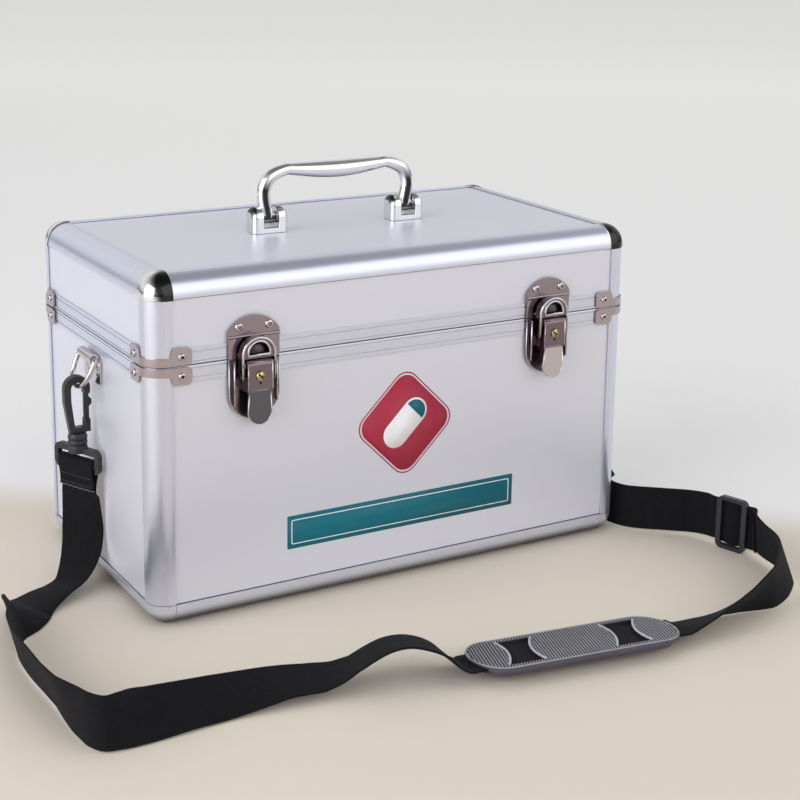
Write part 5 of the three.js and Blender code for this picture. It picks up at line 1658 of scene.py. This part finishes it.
def diamond(half, radius):
    """A square stood on its corner, with round corners."""
    grown = half / sqrt(2) + radius * (1 - 1 / sqrt(2)) * MEDAL_SQUASH
    square = rounded(-grown, grown, -grown, grown, radius, 12)
    return [((x - y) / sqrt(2), MEDAL_Z + (x + y) / sqrt(2)) for x, y in square]


print_plate("print_medal_line", diamond(*MEDAL_LINE), [diamond(*MEDAL_LINE_HOLE)], RED)
print_plate("print_medal", diamond(*MEDAL_FIELD), [], RED)
print_plate("print_capsule", capsule(*CAPSULE, MEDAL_TURN, 0, MEDAL_Z), [], WHITE, 2)
inner_capsule = capsule(*CAPSULE_HALF, MEDAL_TURN, 0, MEDAL_Z)
half_capsule = [(x, z) for x, z in inner_capsule if x + z - MEDAL_Z > CAPSULE_SEAM]
print_plate("print_capsule_half", half_capsule, [], TEAL, 3)

# Lining of the body and the lid

LINING_INSET = 6.95 * MM
LINING_WALL = 1.1 * MM
LINING_CORNER = 8 * MM
BODY_LINING = (7, 163.2, 6.9, 8.2)
LID_LINING = (185.8, 226, 224.8, 226.1)


def lining(name, body, low, high, floor_low, floor_high):
    move = Matrix.Translation((0, CASE_SHIFT, 0))
    x = CASE_LENGTH / 2 - LINING_INSET
    y = CASE_DEPTH / 2 - LINING_INSET
    outer, inner = (rounded(wall - x, x - wall, wall - y, y - wall, LINING_CORNER - wall)
                    for wall in (0, LINING_WALL))
    ring = plate("ring", outer, [inner], low * MM, high * MM, FELT, move)
    floor = plate("floor", outer, [], floor_low * MM, floor_high * MM, FELT, move)
    piece = joined(name, [ring, floor])
    soften(piece, *LINING_EDGES)
    return settle(piece, body, "panel")


lining("body_lining", "case", *BODY_LINING)
lining("lid_lining", "lid", *LID_LINING)

# Floor, lights and background

FLOOR_WARM = (226, 216, 200)
FLOOR_PALE = (246, 246, 245)
FLOOR_BACKWARD = (0.56, 0.828, 0)
PALE_START = 10 * MM
PALE_END = 90 * MM
# Painted light: where the floor starts and stops growing brighter by glowing, and how strongly it glows.
GLOW_START = 0.3
GLOW_END = 3.0
GLOW = 0.25
FLOOR_HALF = 8
FLOOR_LOW = -0.02
FLOOR_TOP = -0.0002


def floor_look():
    """A plain warm floor that pales behind the object and, as painted light, glows brighter far off."""
    look = Look("floor_plain", FLOOR_WARM, 0.0, 0.6)
    behind = look.facing("Object", FLOOR_BACKWARD)
    pale = look.ranged(behind, 0.0, 1.0, PALE_START, PALE_END, "SMOOTHSTEP")
    look.paint(pale, (*look.colour, 1), (*tone(*FLOOR_PALE), 1))
    # Painted light: the floor glows, more the further off behind the object it lies.
    look.set("Emission Color", (1, 1, 1, 1))
    look.set("Emission Strength", look.ranged(behind, 0.0, GLOW, GLOW_START, GLOW_END))
    return look.material


floor_outline = box_outline(-FLOOR_HALF, FLOOR_HALF, -FLOOR_HALF, FLOOR_HALF)
floor = plate("floor", floor_outline, [], FLOOR_LOW, FLOOR_TOP, floor_look())

SKY_STEPS = ((0.0, 0.5), (0.44, 0.62), (0.485, 0.3), (0.53, 0.36), (0.6, 0.85), (0.7, 1.0), (0.82, 0.75),
             (0.93, 0.3), (1.0, 0.2))
SKY_TINT = (1, 0.99, 0.985)
SKY_STRENGTH = 0.85

world = bpy.data.worlds.new("studio")
bpy.context.scene.world = world
world.use_nodes = True
sky = world.node_tree
sky_place = add_node(sky, "TexCoord", {})
sky_split = add_node(sky, "SeparateXYZ", {"Vector": sky_place.outputs["Generated"]})
sky_range = add_node(sky, "MapRange", {"Value": sky_split.outputs["Z"], "From Min": -1})
sky_ramp = add_node(sky, "ValToRGB", {"Fac": sky_range.outputs["Result"]})
while len(sky_ramp.color_ramp.elements) < len(SKY_STEPS):
    sky_ramp.color_ramp.elements.new(0.5)
for element, (spot, light) in zip(sky_ramp.color_ramp.elements, SKY_STEPS):
    element.position = spot
    element.color = (*(light * part for part in SKY_TINT), 1)
background = sky.nodes["Background"]
set_input(sky, background.inputs["Color"], sky_ramp.outputs["Color"])
set_input(sky, background.inputs["Strength"], SKY_STRENGTH)


def area_light(name, spot, aim, size, power, colour, mirrored):
    data = bpy.data.lights.new(name, "AREA")
    data.shape = "RECTANGLE"
    data.size, data.size_y = size
    data.energy = power
    data.color = colour
    lamp = add_object(name, data)
    lamp.location = spot
    lamp.rotation_euler = (Vector(aim) - Vector(spot)).to_track_quat("-Z", "Y").to_euler()
    lamp.visible_glossy = mirrored


# Lamps: place, aim, width and height in metres, watts, colour, and whether bright metal mirrors them
LAMPS = {
    "window_left": ((-3.2, -0.6, 1.2), (0, 0, 0.1), (3.4, 3.0), 92, (0.9, 0.91, 1.0), True),
    "soft_top": ((0.4, 0.4, 3.6), (0, 0, 0), (3.0, 3.0), 22, (1, 1, 1), False),
    "soft_front": ((1.7, -3.1, 1.6), (0.1, 0, 0.1), (5.6, 4.2), 61, (0.95, 0.96, 1.0), True),
}
for name, lamp in LAMPS.items():
    area_light(name, *lamp)

bpy.context.scene.view_settings.view_transform = "Standard"
